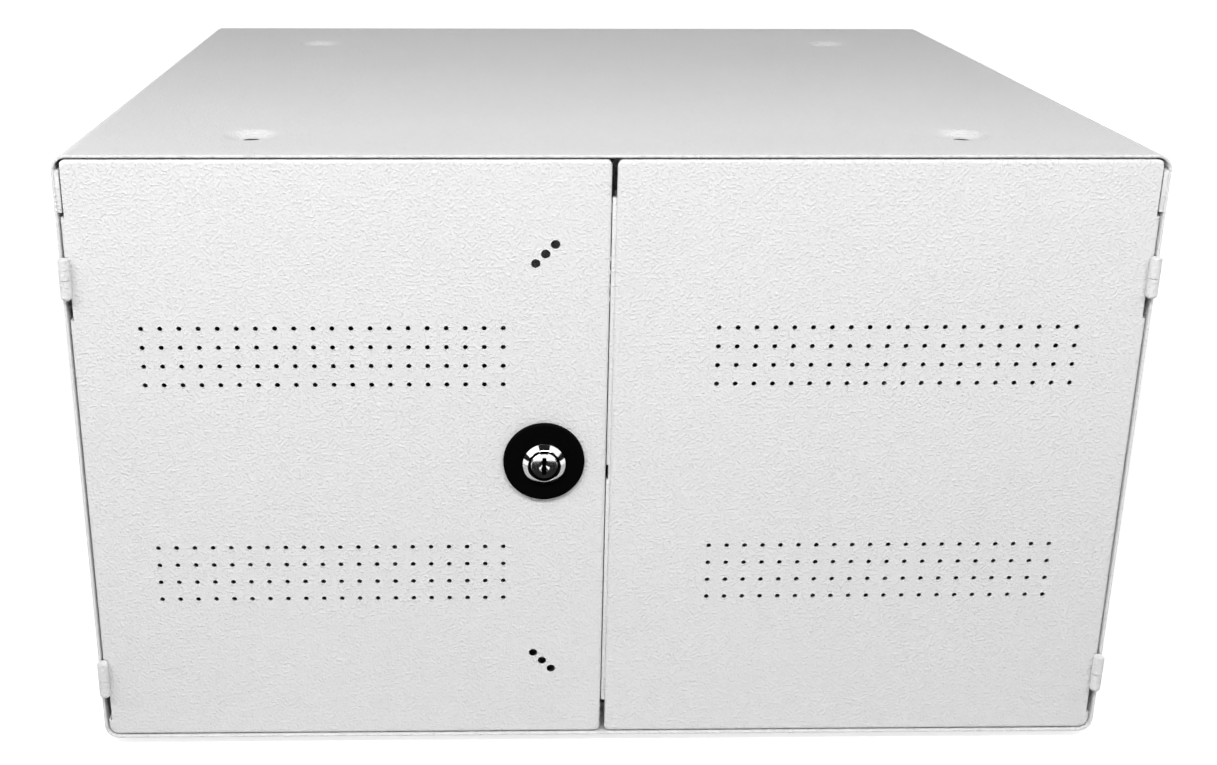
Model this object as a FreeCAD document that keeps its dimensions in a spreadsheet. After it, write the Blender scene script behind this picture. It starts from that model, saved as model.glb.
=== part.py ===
import FreeCAD, Part
import os
from types import SimpleNamespace

import Sketcher

# Charging cabinet for portable computers: a folded steel shell with two inset doors.
# Millimetres. +Z is up, the doors face -Y, and the origin is under the middle of the
# whole object, on the surface that its feet stand on.

SIZES = {
    # Shell, folded from one sheet
    "cabinet_width": 572.0,
    "cabinet_height": 340.0,
    "cabinet_depth": 500.0,
    "shell_gauge": 1.5,
    "shell_bend_radius": 8.0,
    # Round recesses pressed into the top, with a hole each for stacking bolts
    "recess_side_inset": 94.0,
    "recess_front_inset": 54.0,
    "recess_back_inset": 89.0,
    "recess_rim_diameter": 31.0,
    "recess_floor_diameter": 14.0,
    "recess_depth": 3.0,
    "recess_hole_diameter": 9.0,
    # Rubber feet and their screws
    "foot_height": 6.0,
    "foot_diameter": 24.0,
    "foot_head_recess": 3.5,
    "foot_head_clearance": 0.5,
    "foot_screw_diameter": 5.0,
    "foot_screw_head_diameter": 10.0,
    "foot_screw_head_height": 2.5,
    "foot_screw_tip": 1.5,
    "foot_nut_across_corners": 9.2,
    "foot_nut_height": 4.0,
    "screw_hole_clearance": 0.25,
    "thread_clearance": 0.05,
    # Front frame: lips that the doors close against
    "frame_gauge": 1.5,
    "front_lip": 8.5,
    "door_stop_gap": 0.5,
    # Doors: folded trays
    "door_gauge": 1.2,
    "door_depth": 18.0,
    "door_edge_gap": 1.0,
    "door_side_gap": 1.0,
    "door_centre_gap": 2.5,
    "door_hinge_corner_radius": 5.5,
    "door_free_corner_radius": 3.3,
    "door_bend_radius": 2.0,
    "free_flange_relief": 20.0,
    "flange_notch_height": 8.0,
    "flange_notch_depth": 8.0,
    "flange_notch_drop": 7.0,
    "hinge_edge_relief": 2.2,
    "top_relief_length": 30.0,
    "lift_off_relief": 12.0,
    "lower_hinge_relief": 16.7,
    "door_feature_drop": 1.5,
    "vent_inner_offset": 57.0,
    "vent_outer_inset": 36.5,
    "vent_group_offset": 63.5,
    "vent_pitch_z": 10.5,
    "vent_hole_diameter": 2.8,
    "mark_hole_diameter": 5.0,
    "mark_hole_step": 5.1,
    "mark_group_offset": 119.5,
    # Strip on the right door's free edge that closes the gap between the doors
    "closing_strip_gap": 0.5,
    "closing_strip_depth": 4.0,
    "closing_strip_setback": 1.2,
    "closing_notch_width": 1.1,
    "closing_notch_height": 9.0,
    "closing_notch_drop": 4.0,
    # Lugs on the side walls that keep a closed door from being lifted off its hinges
    "lug_side_gap": 0.9,
    "lug_end_gap": 2.5,
    "lug_setback": 0.3,
    # Lift-off hinges
    "hinge_axis_inset": 3.0,
    "hinge_axis_forward": 3.1,
    "knuckle_diameter": 6.0,
    "knuckle_length": 11.0,
    "knuckle_gap": 0.3,
    "knuckle_end_radius": 2.4,
    "knuckle_top_radius": 0.6,
    "hinge_pin_diameter": 3.0,
    "hinge_pin_seat": 2.0,
    "hinge_running_clearance": 0.05,
    "hinge_leaf_gauge": 1.5,
    "hinge_leaf_length": 14.0,
    "hinge_leaf_setback": 0.3,
    "upper_hinge_drop": 64.6,
    "lower_hinge_rise": 40.0,
    # Cam lock
    "lock_offset": 35.0,
    "lock_rise": 2.3,
    "escutcheon_diameter": 44.0,
    "escutcheon_thickness": 3.0,
    "escutcheon_edge_radius": 0.8,
    "bezel_base_diameter": 23.3,
    "bezel_face_diameter": 17.8,
    "bezel_length": 5.0,
    "bezel_slope_length": 2.75,
    "barrel_diameter": 19.0,
    "barrel_reach": 18.5,
    "barrel_clearance": 0.2,
    "plug_diameter": 14.8,
    "plug_stand_out": 0.3,
    "plug_running_clearance": 0.05,
    "keyway_width": 2.0,
    "keyway_height": 9.6,
    "keyway_depth": 10.0,
    "keyway_mouth_width": 5.6,
    "keyway_mouth_depth": 1.2,
    "lock_nut_across_corners": 27.0,
    "lock_nut_thickness": 4.0,
    "cam_gauge": 2.5,
    "cam_gap": 0.5,
    "cam_width": 12.0,
    "cam_reach": 45.0,
    "cam_end_diameter": 18.0,
    "cam_square": 7.0,
    "cam_clearance": 0.05,
    "cam_screw_diameter": 4.0,
    "cam_screw_head_diameter": 10.0,
    "cam_screw_head_height": 2.3,
    "cam_screw_length": 12.0,
    # Slide bolts on the right door
    "bolt_diameter": 6.0,
    "bolt_offset": 14.0,
    "bolt_lip_clearance": 0.6,
    "bolt_running_clearance": 0.05,
    "bolt_length": 76.0,
    "bolt_drop": 2.0,
    "bolt_knob_diameter": 9.0,
    "bolt_knob_length": 13.0,
    "bolt_knob_inset": 7.0,
    "guide_width": 18.0,
    "guide_height": 24.0,
    "guide_drop": 14.0,
    "guide_depth": 18.0,
    "guide_wall": 3.0,
    # Rear frame and rear panel
    "rear_lip": 16.0,
    "rear_panel_gap": 0.6,
    "rear_screw_inset": 8.0,
    "rear_side_screw_inset": 32.0,
    "rear_screw_diameter": 4.0,
    "rear_screw_head_diameter": 8.0,
    "rear_screw_head_height": 2.2,
    "rear_screw_length": 8.0,
    "slot_length": 48.0,
    "slot_height": 4.0,
    "slot_end_radius": 1.8,
    "slot_pitch_x": 110.0,
    "slot_pitch_z": 12.0,
    "slot_rise": 60.0,
    # Device bay: floor rails, dividers and the partition in front of the charger trough
    "charger_bay_depth": 78.0,
    "partition_gauge": 1.2,
    "partition_height": 160.0,
    "partition_foot": 20.0,
    "lead_notch_width": 16.0,
    "lead_notch_depth": 30.0,
    "lead_notch_radius": 6.4,
    "rail_width": 30.0,
    "rail_height": 12.0,
    "rail_gauge": 1.5,
    "rail_inset": 50.0,
    "divider_gauge": 1.2,
    "divider_height": 250.0,
    "divider_front_inset": 45.0,
    "divider_rear_gap": 14.0,
    "divider_corner_radius": 40.0,
    "divider_tab_width": 18.0,
    "divider_tab_length": 7.0,
    "divider_slot_clearance": 0.2,
    # Power strip
    "strip_side_gap": 34.5,
    "strip_height": 45.0,
    "strip_depth": 45.0,
    "strip_wall": 1.5,
    "strip_drop": 55.0,
    "strip_cap_thickness": 3.0,
    "strip_cap_radius": 1.5,
    "strip_bracket_gauge": 2.0,
    "strip_bracket_width": 30.0,
    "strip_bracket_offset": 120.0,
    "strip_bracket_ear": 16.0,
    "strip_screw_diameter": 4.0,
    "strip_screw_head_diameter": 7.5,
    "strip_screw_head_height": 2.2,
    "outlet_width": 28.0,
    "outlet_height": 24.0,
    "outlet_depth": 22.0,
    "outlet_rim": 2.5,
    "outlet_rim_thickness": 1.5,
    "outlet_clearance": 0.2,
    "outlet_pitch": 40.0,
    "outlet_first_inset": 26.0,
    "outlet_switch_gap": 50.0,
    "outlet_groove": 2.2,
    "outlet_groove_depth": 12.0,
    "outlet_core_inset": 2.4,
    "outlet_slot_width": 2.4,
    "outlet_slot_height": 6.0,
    "outlet_slot_spread": 7.0,
    "outlet_slot_shift": 2.4,
    "switch_width": 15.0,
    "switch_height": 28.0,
    "switch_depth": 16.0,
    "switch_rim": 2.0,
    "switch_rim_thickness": 1.5,
    "switch_inset": 62.0,
    "switch_wall": 1.4,
    "rocker_clearance": 0.4,
    "rocker_end_gap": 2.0,
    "rocker_stand_out": 2.0,
    "rocker_radius": 24.0,
    "rocker_pivot_depth": 5.0,
    "button_inset": 30.0,
    "button_diameter": 8.0,
    "button_collar_diameter": 13.0,
    "button_collar_thickness": 2.0,
    "button_stand_out": 3.5,
    "button_length": 12.0,
    "button_nose_radius": 0.75,
    "button_running_clearance": 0.1,
    "button_hole_clearance": 0.2,
    # Mains inlet in the back of the power strip
    "inlet_end_inset": 45.0,
    "inlet_width": 28.0,
    "inlet_height": 20.5,
    "inlet_reach": 24.0,
    "inlet_flange": 11.0,
    "inlet_flange_rim": 3.0,
    "inlet_flange_thickness": 3.0,
    "inlet_recess_width": 24.5,
    "inlet_recess_height": 17.0,
    "inlet_recess_depth": 16.0,
    "inlet_clearance": 0.2,
    "inlet_blade_width": 4.0,
    "inlet_blade_thickness": 2.0,
    "inlet_blade_length": 13.0,
    "inlet_blade_spread": 7.0,
    "inlet_blade_shift": 2.0,
    "inlet_screw_diameter": 3.0,
    "inlet_screw_head_diameter": 5.5,
    "inlet_screw_head_height": 1.6,
    "inlet_screw_length": 8.0,
    # One overrun serves every cut
    "overrun": 5.0,
}

VENT_COLUMNS = 20
VENT_ROWS = 4
MARK_HOLES = 3
DIVIDER_COUNT = 9
SLOT_COLUMNS = 4
SLOT_ROWS = 8
HEX_SIDES = 6
ROCKER_TILT_DEGREES = 7.0
TOLERANCE = 1e-4

doc = FreeCAD.newDocument("charging_cabinet")
sheet = doc.addObject("Spreadsheet::Sheet", "Sizes")
for row, (alias, value) in enumerate(SIZES.items(), 1):
    sheet.set(f"A{row}", alias)
    sheet.set(f"B{row}", str(value))
    sheet.setAlias(f"B{row}", alias)
doc.recompute()


class Size:
    """A length: the expression that ties it to the sheet, and its value now."""

    def __init__(self, text, value):
        self.text = text
        self.value = value

    def __add__(self, other):
        return Size(f"({self.text} + {other.text})", self.value + other.value)

    def __sub__(self, other):
        return Size(f"({self.text} - {other.text})", self.value - other.value)

    def __mul__(self, factor):
        return Size(f"({self.text} * {factor})", self.value * factor)

    def __truediv__(self, factor):
        return Size(f"({self.text} / {factor})", self.value / factor)

    def __neg__(self):
        return Size(f"(-{self.text})", -self.value)

    __rmul__ = __mul__


s = SimpleNamespace(**{alias: Size(f"Sizes.{alias}", float(sheet.get(alias))) for alias in SIZES})
ZERO = s.overrun - s.overrun
sub_parts = []


def node(part, label):
    """Names a finished piece of the cabinet."""
    part.Label = label
    sub_parts.append(part)
    return part


# Solids from primitives

TURNS = {
    "x": FreeCAD.Rotation(FreeCAD.Vector(0, 1, 0), 90),
    "y": FreeCAD.Rotation(FreeCAD.Vector(1, 0, 0), -90),
    "z": FreeCAD.Rotation(),
}


def place(part, **coordinates):
    for axis, size in coordinates.items():
        part.setExpression(f"Placement.Base.{axis}", size.text)


def box(name, x, y, z):
    """A block between two values on each axis."""
    part = doc.addObject("Part::Box", name)
    for side, axis, (low, high) in (("Length", "x", x), ("Width", "y", y), ("Height", "z", z)):
        part.setExpression(side, (high - low).text)
        place(part, **{axis: low})
    return part


def lie_along(part, axis, span, centre):
    part.Placement = FreeCAD.Placement(FreeCAD.Vector(), TURNS[axis])
    part.setExpression("Height", (span[1] - span[0]).text)
    place(part, **centre, **{axis: span[0]})
    return part


def rod(name, axis, span, diameter, **centre):
    """A cylinder along an axis; centre gives its two other coordinates."""
    part = doc.addObject("Part::Cylinder", name)
    part.setExpression("Radius", (diameter / 2).text)
    return lie_along(part, axis, span, centre)


def taper(name, axis, span, low_diameter, high_diameter, **centre):
    part = doc.addObject("Part::Cone", name)
    part.setExpression("Radius1", (low_diameter / 2).text)
    part.setExpression("Radius2", (high_diameter / 2).text)
    return lie_along(part, axis, span, centre)


def hexagon(name, axis, span, across_corners, **centre):
    part = doc.addObject("Part::Prism", name)
    part.Polygon = HEX_SIDES
    part.setExpression("Circumradius", (across_corners / 2).text)
    return lie_along(part, axis, span, centre)


def join(name, *pieces):
    part = doc.addObject("Part::MultiFuse", name)
    part.Shapes = list(pieces)
    part.Refine = True
    return part


def cut(name, base, *tools):
    part = doc.addObject("Part::Cut", name)
    part.Base = base
    part.Tool = tools[0] if len(tools) == 1 else join(f"{name}_tools", *tools)
    return part


def group(name, pieces):
    """Like pieces that share one node, each still a solid of its own."""
    part = doc.addObject("Part::Compound", name)
    part.Links = pieces
    return part


def round_edges(name, base, radius, wanted):
    """Rounds the edges of a solid that the test wanted picks."""
    doc.recompute()
    part = doc.addObject("Part::Fillet", name)
    part.Base = base
    numbers = [i for i, edge in enumerate(base.Shape.Edges, 1) if wanted(edge)]
    part.Edges = [(number, radius.value, radius.value) for number in numbers]
    return part


# Folded sheets: bodies with sketches

def plane(body, role):
    return next(feature for feature in body.Origin.OriginFeatures if feature.Role == role)


def sketch(body, name, role, along, across=None):
    """A sketch on an origin plane, moved by along on the plane's own normal."""
    drawing = body.newObject("Sketcher::SketchObject", name)
    drawing.AttachmentSupport = [(plane(body, role), "")]
    drawing.MapMode = "FlatFace"
    drawing.setExpression("AttachmentOffset.Base.z", along.text)
    if across is not None:
        drawing.setExpression("AttachmentOffset.Base.x", across.text)
    return drawing


def facing_front(body, name, y, across=None):
    """A sketch in X and Z at a depth y; its normal points to the front."""
    return sketch(body, name, "XZ_Plane", -y, across)


def dimension(drawing, kind, size, *where):
    number = drawing.addConstraint(Sketcher.Constraint(kind, *where, size.value))
    drawing.setExpression(f"Constraints[{number}]", size.text)


def outline(drawing, corners):
    """A closed outline through the corners, each held by its two coordinates."""
    first = drawing.GeometryCount
    points = [FreeCAD.Vector(x.value, y.value, 0) for x, y in corners]
    count = len(points)
    for i in range(count):
        drawing.addGeometry(Part.LineSegment(points[i], points[(i + 1) % count]), False)
    for i in range(count):
        drawing.addConstraint(Sketcher.Constraint("Coincident", first + i, 2, first + (i + 1) % count, 1))
    for i, (x, y) in enumerate(corners):
        dimension(drawing, "DistanceX", x, -1, 1, first + i, 1)
        dimension(drawing, "DistanceY", y, -1, 1, first + i, 1)


def rectangle(drawing, x, y):
    outline(drawing, [(x[0], y[0]), (x[1], y[0]), (x[1], y[1]), (x[0], y[1])])


def rounded_rectangle(drawing, x, y, radius):
    """A rectangle whose corners are quarter circles; every joint of line and arc is held."""
    first = drawing.GeometryCount
    corners = [(x[0], 1, y[0], 1), (x[1], -1, y[0], 1), (x[1], -1, y[1], -1), (x[0], 1, y[1], -1)]
    joints = []
    for number, (corner_x, inward_x, corner_y, inward_y) in enumerate(corners):
        beside = (corner_x + radius * inward_x, corner_y)
        above = (corner_x, corner_y + radius * inward_y)
        joints += [above, beside] if number % 2 == 0 else [beside, above]
    points = [FreeCAD.Vector(a.value, b.value, 0) for a, b in joints]
    count = len(points)
    for i in range(0, count, 2):
        corner_x, inward_x, corner_y, inward_y = corners[i // 2]
        centre = FreeCAD.Vector(corner_x.value, corner_y.value, 0)
        centre += FreeCAD.Vector(radius.value * inward_x, radius.value * inward_y, 0)
        outward = (points[i] + points[i + 1] - centre - centre).normalize() * radius.value
        drawing.addGeometry(Part.Arc(points[i], centre + outward, points[i + 1]), False)
        drawing.addGeometry(Part.LineSegment(points[i + 1], points[(i + 2) % count]), False)
    for i in range(0, count, 2):
        following = first + (i + 2) % count
        drawing.addConstraint(Sketcher.Constraint("Coincident", first + i, 2, first + i + 1, 1))
        drawing.addConstraint(Sketcher.Constraint("Coincident", first + i + 1, 2, following, 1))
        for end, (a, b) in ((1, joints[i]), (2, joints[i + 1])):
            dimension(drawing, "DistanceX", a, -1, 1, first + i, end)
            dimension(drawing, "DistanceY", b, -1, 1, first + i, end)
        dimension(drawing, "Radius", radius, first + i)


def circle(drawing, x, y, diameter):
    number = drawing.GeometryCount
    centre = FreeCAD.Vector(x.value, y.value, 0)
    drawing.addGeometry(Part.Circle(centre, FreeCAD.Vector(0, 0, 1), diameter.value / 2), False)
    dimension(drawing, "DistanceX", x, -1, 1, number, 3)
    dimension(drawing, "DistanceY", y, -1, 1, number, 3)
    dimension(drawing, "Diameter", diameter, number)


def pad(body, name, drawing, length, reverse=False):
    feature = body.newObject("PartDesign::Pad", name)
    feature.Profile = drawing
    feature.Reversed = reverse
    feature.setExpression("Length", length.text)
    return feature


def pocket(body, name, drawing, length, reverse=False):
    """Cuts against the sketch's normal, or along it when reversed, and must remove something."""
    doc.recompute()
    before = body.Shape.Volume
    feature = body.newObject("PartDesign::Pocket", name)
    feature.Profile = drawing
    feature.Reversed = reverse
    feature.setExpression("Length", length.text)
    doc.recompute()
    if feature.Shape.Volume >= before:
        raise RuntimeError(f"{name} cuts nothing")
    return feature


def bend(body, name, radius, wanted):
    """Rounds the edges of the body's last feature that the test wanted picks."""
    doc.recompute()
    base = body.Tip
    feature = body.newObject("PartDesign::Fillet", name)
    edges = [f"Edge{i}" for i, edge in enumerate(base.Shape.Edges, 1) if wanted(edge)]
    feature.Base = (base, edges)
    feature.setExpression("Radius", radius.text)
    return feature


def repeat(body, name, features, first, second=None):
    """Repeats features along X or Y or Z; each way is an axis role, a pitch and a count."""
    pattern = body.newObject("PartDesign::LinearPattern", name)
    pattern.Originals = features
    for suffix, way in (("", first), ("2", second)):
        if way is None:
            continue
        role, pitch, count = way
        setattr(pattern, f"Direction{suffix}", (plane(body, role), [""]))
        setattr(pattern, f"Mode{suffix}", "Extent")
        setattr(pattern, f"Occurrences{suffix}", count)
        pattern.setExpression(f"Length{suffix}", (pitch * (count - 1)).text)
    body.Tip = pattern
    return pattern


def runs_along(edge, axis):
    """True for a straight edge along an axis, 0 for X, 1 for Y and 2 for Z."""
    if edge.Curve.TypeId != "Part::GeomLine":
        return False
    return abs(abs(edge.Curve.Direction[axis]) - 1) < TOLERANCE


def lies_at(edge, axis, size):
    """True for an edge that lies wholly at one value of an axis."""
    low = (edge.BoundBox.XMin, edge.BoundBox.YMin, edge.BoundBox.ZMin)[axis]
    high = (edge.BoundBox.XMax, edge.BoundBox.YMax, edge.BoundBox.ZMax)[axis]
    return abs(low - size.value) < TOLERANCE and abs(high - size.value) < TOLERANCE


# Planes that the pieces share

lock_reach = s.escutcheon_thickness + s.bezel_length + s.plug_stand_out
rear_reach = s.inlet_flange_thickness
front = (lock_reach - rear_reach - s.cabinet_depth) / 2
back = front + s.cabinet_depth
right = s.cabinet_width / 2
bottom = s.foot_height
top = bottom + s.cabinet_height
middle = bottom + s.cabinet_height / 2
inner_right = right - s.shell_gauge
floor = bottom + s.shell_gauge
ceiling = top - s.shell_gauge
inside_bend = s.shell_bend_radius - s.shell_gauge
frame_front = front + s.door_depth + s.door_stop_gap
frame_back = frame_front + s.frame_gauge
panel_front = back - s.shell_gauge
recess_right = right - s.recess_side_inset
recess_front = front + s.recess_front_inset
recess_back = back - s.recess_back_inset
recess_places = [(x, y) for y in (recess_front, recess_back) for x in (-recess_right, recess_right)]


# Shell

def make_shell():
    body = doc.addObject("PartDesign::Body", "shell")
    section = facing_front(body, "shell_section", back)
    rounded_rectangle(section, (-right, right), (bottom, top), s.shell_bend_radius)
    rounded_rectangle(section, (-inner_right, inner_right), (floor, ceiling), inside_bend)
    pad(body, "shell_wrap", section, s.cabinet_depth)

    rim = sketch(body, "recess_rim", "XY_Plane", top)
    circle(rim, -recess_right, recess_front, s.recess_rim_diameter)
    opening = pocket(body, "recess_opening", rim, s.shell_gauge)
    across = ("X_Axis", 2 * recess_right, 2)
    deep = ("Y_Axis", recess_back - recess_front, 2)
    repeat(body, "recess_openings", [opening], across, deep)
    dish = facing_front(body, "recess_profile", recess_front, -recess_right)
    rim_radius = s.recess_rim_diameter / 2
    floor_radius = s.recess_floor_diameter / 2
    hole_radius = s.recess_hole_diameter / 2
    outline(dish, [
        (rim_radius, top),
        (floor_radius, top - s.recess_depth),
        (hole_radius, top - s.recess_depth),
        (hole_radius, top - s.recess_depth - s.shell_gauge),
        (floor_radius, top - s.recess_depth - s.shell_gauge),
        (rim_radius, ceiling),
    ])
    pressing = body.newObject("PartDesign::Revolution", "recess_pressing")
    pressing.Profile = dish
    pressing.ReferenceAxis = (dish, ["V_Axis"])
    repeat(body, "recesses", [pressing], across, deep)

    foot_hole = sketch(body, "foot_hole", "XY_Plane", floor)
    circle(foot_hole, -recess_right, recess_front, s.foot_screw_diameter + 2 * s.screw_hole_clearance)
    drilled = pocket(body, "foot_hole_cut", foot_hole, s.shell_gauge)
    repeat(body, "foot_holes", [drilled], across, deep)
    node(body, "shell")


# Frames inside the two mouths of the shell

def lip_ring(label, y, lip):
    """A flat ring that follows the inside of the shell, its lips turned inwards."""
    body = doc.addObject("PartDesign::Body", label)
    ring = facing_front(body, f"{label}_outline", y[1])
    rounded_rectangle(ring, (-inner_right, inner_right), (floor, ceiling), inside_bend)
    rectangle(ring, (lip - inner_right, inner_right - lip), (floor + lip, ceiling - lip))
    pad(body, f"{label}_sheet", ring, y[1] - y[0])
    return body


def make_front_frame():
    node(lip_ring("front_frame", (frame_front, frame_back), s.front_lip), "front_frame")


side_screw_x = inner_right - s.rear_screw_inset
side_screw_heights = (floor + s.rear_side_screw_inset, ceiling - s.rear_side_screw_inset)
edge_screw_x = inner_right / 2
edge_screw_heights = (floor + s.rear_screw_inset, ceiling - s.rear_screw_inset)
rear_screw_places = [(x, z) for x in (-side_screw_x, side_screw_x) for z in side_screw_heights]
rear_screw_places += [(x, z) for x in (-edge_screw_x, edge_screw_x) for z in edge_screw_heights]


def make_rear_frame():
    ring = (panel_front - s.frame_gauge, panel_front)
    body = lip_ring("rear_frame", ring, s.rear_lip)
    for number, (x, z) in enumerate(rear_screw_places, 1):
        hole = facing_front(body, f"rear_frame_hole_{number}", ring[0])
        circle(hole, x, z, s.rear_screw_diameter + 2 * s.screw_hole_clearance)
        pocket(body, f"rear_frame_drilling_{number}", hole, s.frame_gauge)
    node(body, "rear_frame")


strip_top = ceiling - s.strip_drop
strip_bottom = strip_top - s.strip_height
strip_middle = strip_bottom + s.strip_height / 2
strip_back = panel_front - s.strip_bracket_gauge
strip_front = strip_back - s.strip_depth
bracket_places = (-s.strip_bracket_offset, s.strip_bracket_offset)
ear_heights = (strip_bottom - s.strip_bracket_ear / 2, strip_top + s.strip_bracket_ear / 2)
ear_places = [(x, z) for x in bracket_places for z in ear_heights]


def make_rear_panel():
    body = doc.addObject("PartDesign::Body", "rear_panel")
    gap = s.rear_panel_gap
    blank = facing_front(body, "rear_panel_outline", back)
    rounded_rectangle(blank, (gap - inner_right, inner_right - gap), (floor + gap, ceiling - gap),
                      inside_bend)
    pad(body, "rear_panel_sheet", blank, s.shell_gauge)
    holes = facing_front(body, "rear_panel_holes", panel_front)
    for x, z in rear_screw_places:
        circle(holes, x, z, s.rear_screw_diameter + 2 * s.screw_hole_clearance)
    for x, z in ear_places:
        circle(holes, x, z, s.strip_screw_diameter + 2 * s.screw_hole_clearance)
    half_width = s.inlet_width / 2 + s.inlet_clearance
    half_height = s.inlet_height / 2 + s.inlet_clearance
    rectangle(
        holes,
        (inlet_x - half_width, inlet_x + half_width),
        (strip_middle - half_height, strip_middle + half_height),
    )
    for x in inlet_screw_places:
        circle(holes, x, strip_middle, s.inlet_screw_diameter + 2 * s.screw_hole_clearance)
    pocket(body, "rear_panel_drilling", holes, s.shell_gauge)
    slot = facing_front(body, "rear_panel_slot", panel_front)
    first = -(s.slot_pitch_x * (SLOT_COLUMNS - 1) + s.slot_length) / 2
    slot_floor = floor + s.slot_rise
    rounded_rectangle(slot, (first, first + s.slot_length), (slot_floor, slot_floor + s.slot_height),
                      s.slot_end_radius)
    slot_cut = pocket(body, "rear_panel_slot_cut", slot, s.shell_gauge)
    columns = ("X_Axis", s.slot_pitch_x, SLOT_COLUMNS)
    rows = ("Z_Axis", s.slot_pitch_z, SLOT_ROWS)
    repeat(body, "rear_panel_slots", [slot_cut], columns, rows)
    node(body, "rear_panel")


def pan_screw(name, head, tip, head_diameter, diameter, **centre):
    """A screw along Y: head and tip are the spans of its head and its shank."""
    head_piece = rod(f"{name}_head", "y", head, head_diameter, **centre)
    shank = rod(f"{name}_shank", "y", tip, diameter, **centre)
    return join(name, head_piece, shank)


def make_rear_screws():
    screws = [
        pan_screw(
            f"rear_panel_screw_{number}",
            (back, back + s.rear_screw_head_height),
            (back - s.rear_screw_length, back),
            s.rear_screw_head_diameter, s.rear_screw_diameter, x=x, z=z,
        )
        for number, (x, z) in enumerate(rear_screw_places, 1)
    ]
    node(group("rear_panel_screws", screws), "rear_panel_screws")


# Feet

def make_feet():
    feet = []
    screws = []
    nuts = []
    head_top = s.foot_head_recess
    hole = s.foot_screw_diameter + 2 * s.screw_hole_clearance
    head_hole = s.foot_screw_head_diameter + 2 * s.foot_head_clearance
    nut_top = floor + s.foot_nut_height
    for number, (x, y) in enumerate(recess_places, 1):
        puck = rod(f"foot_puck_{number}", "z", (ZERO, bottom), s.foot_diameter, x=x, y=y)
        bore = rod(f"foot_bore_{number}", "z", (ZERO, bottom), hole, x=x, y=y)
        sink = rod(f"foot_sink_{number}", "z", (-s.overrun, head_top), head_hole, x=x, y=y)
        feet.append(cut(f"foot_{number}", puck, bore, sink))
        head_span = (head_top - s.foot_screw_head_height, head_top)
        head = rod(f"foot_screw_head_{number}", "z", head_span, s.foot_screw_head_diameter, x=x, y=y)
        shank_span = (head_top, nut_top + s.foot_screw_tip)
        shank = rod(f"foot_screw_shank_{number}", "z", shank_span, s.foot_screw_diameter, x=x, y=y)
        screws.append(join(f"foot_screw_{number}", head, shank))
        blank = hexagon(f"foot_nut_blank_{number}", "z", (floor, nut_top), s.foot_nut_across_corners,
                        x=x, y=y)
        thread = s.foot_screw_diameter + 2 * s.thread_clearance
        thread_hole = rod(f"foot_nut_hole_{number}", "z", (floor, nut_top), thread, x=x, y=y)
        nuts.append(cut(f"foot_nut_{number}", blank, thread_hole))
    node(group("rubber_feet", feet), "rubber_feet")
    node(group("foot_screws", screws), "foot_screws")
    node(group("foot_nuts", nuts), "foot_nuts")


# Doors

door_bottom = floor + s.door_edge_gap
door_top = ceiling - s.door_edge_gap
door_outer = inner_right - s.door_side_gap
door_inner = s.door_centre_gap / 2
hinge_x = right - s.hinge_axis_inset
hinge_y = front - s.hinge_axis_forward
hinge_joints = {"upper": top - s.upper_hinge_drop, "lower": bottom + s.lower_hinge_rise}
lock_x = -s.lock_offset
lock_z = middle + s.lock_rise
feature_z = middle - s.door_feature_drop
cam_front = front + s.barrel_reach + s.cam_gap
cam_back = cam_front + s.cam_gauge


def mirrored(side, low, high):
    """A span in X given for the right-hand side, moved to a side."""
    return (low, high) if side > 0 else (-high, -low)


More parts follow.
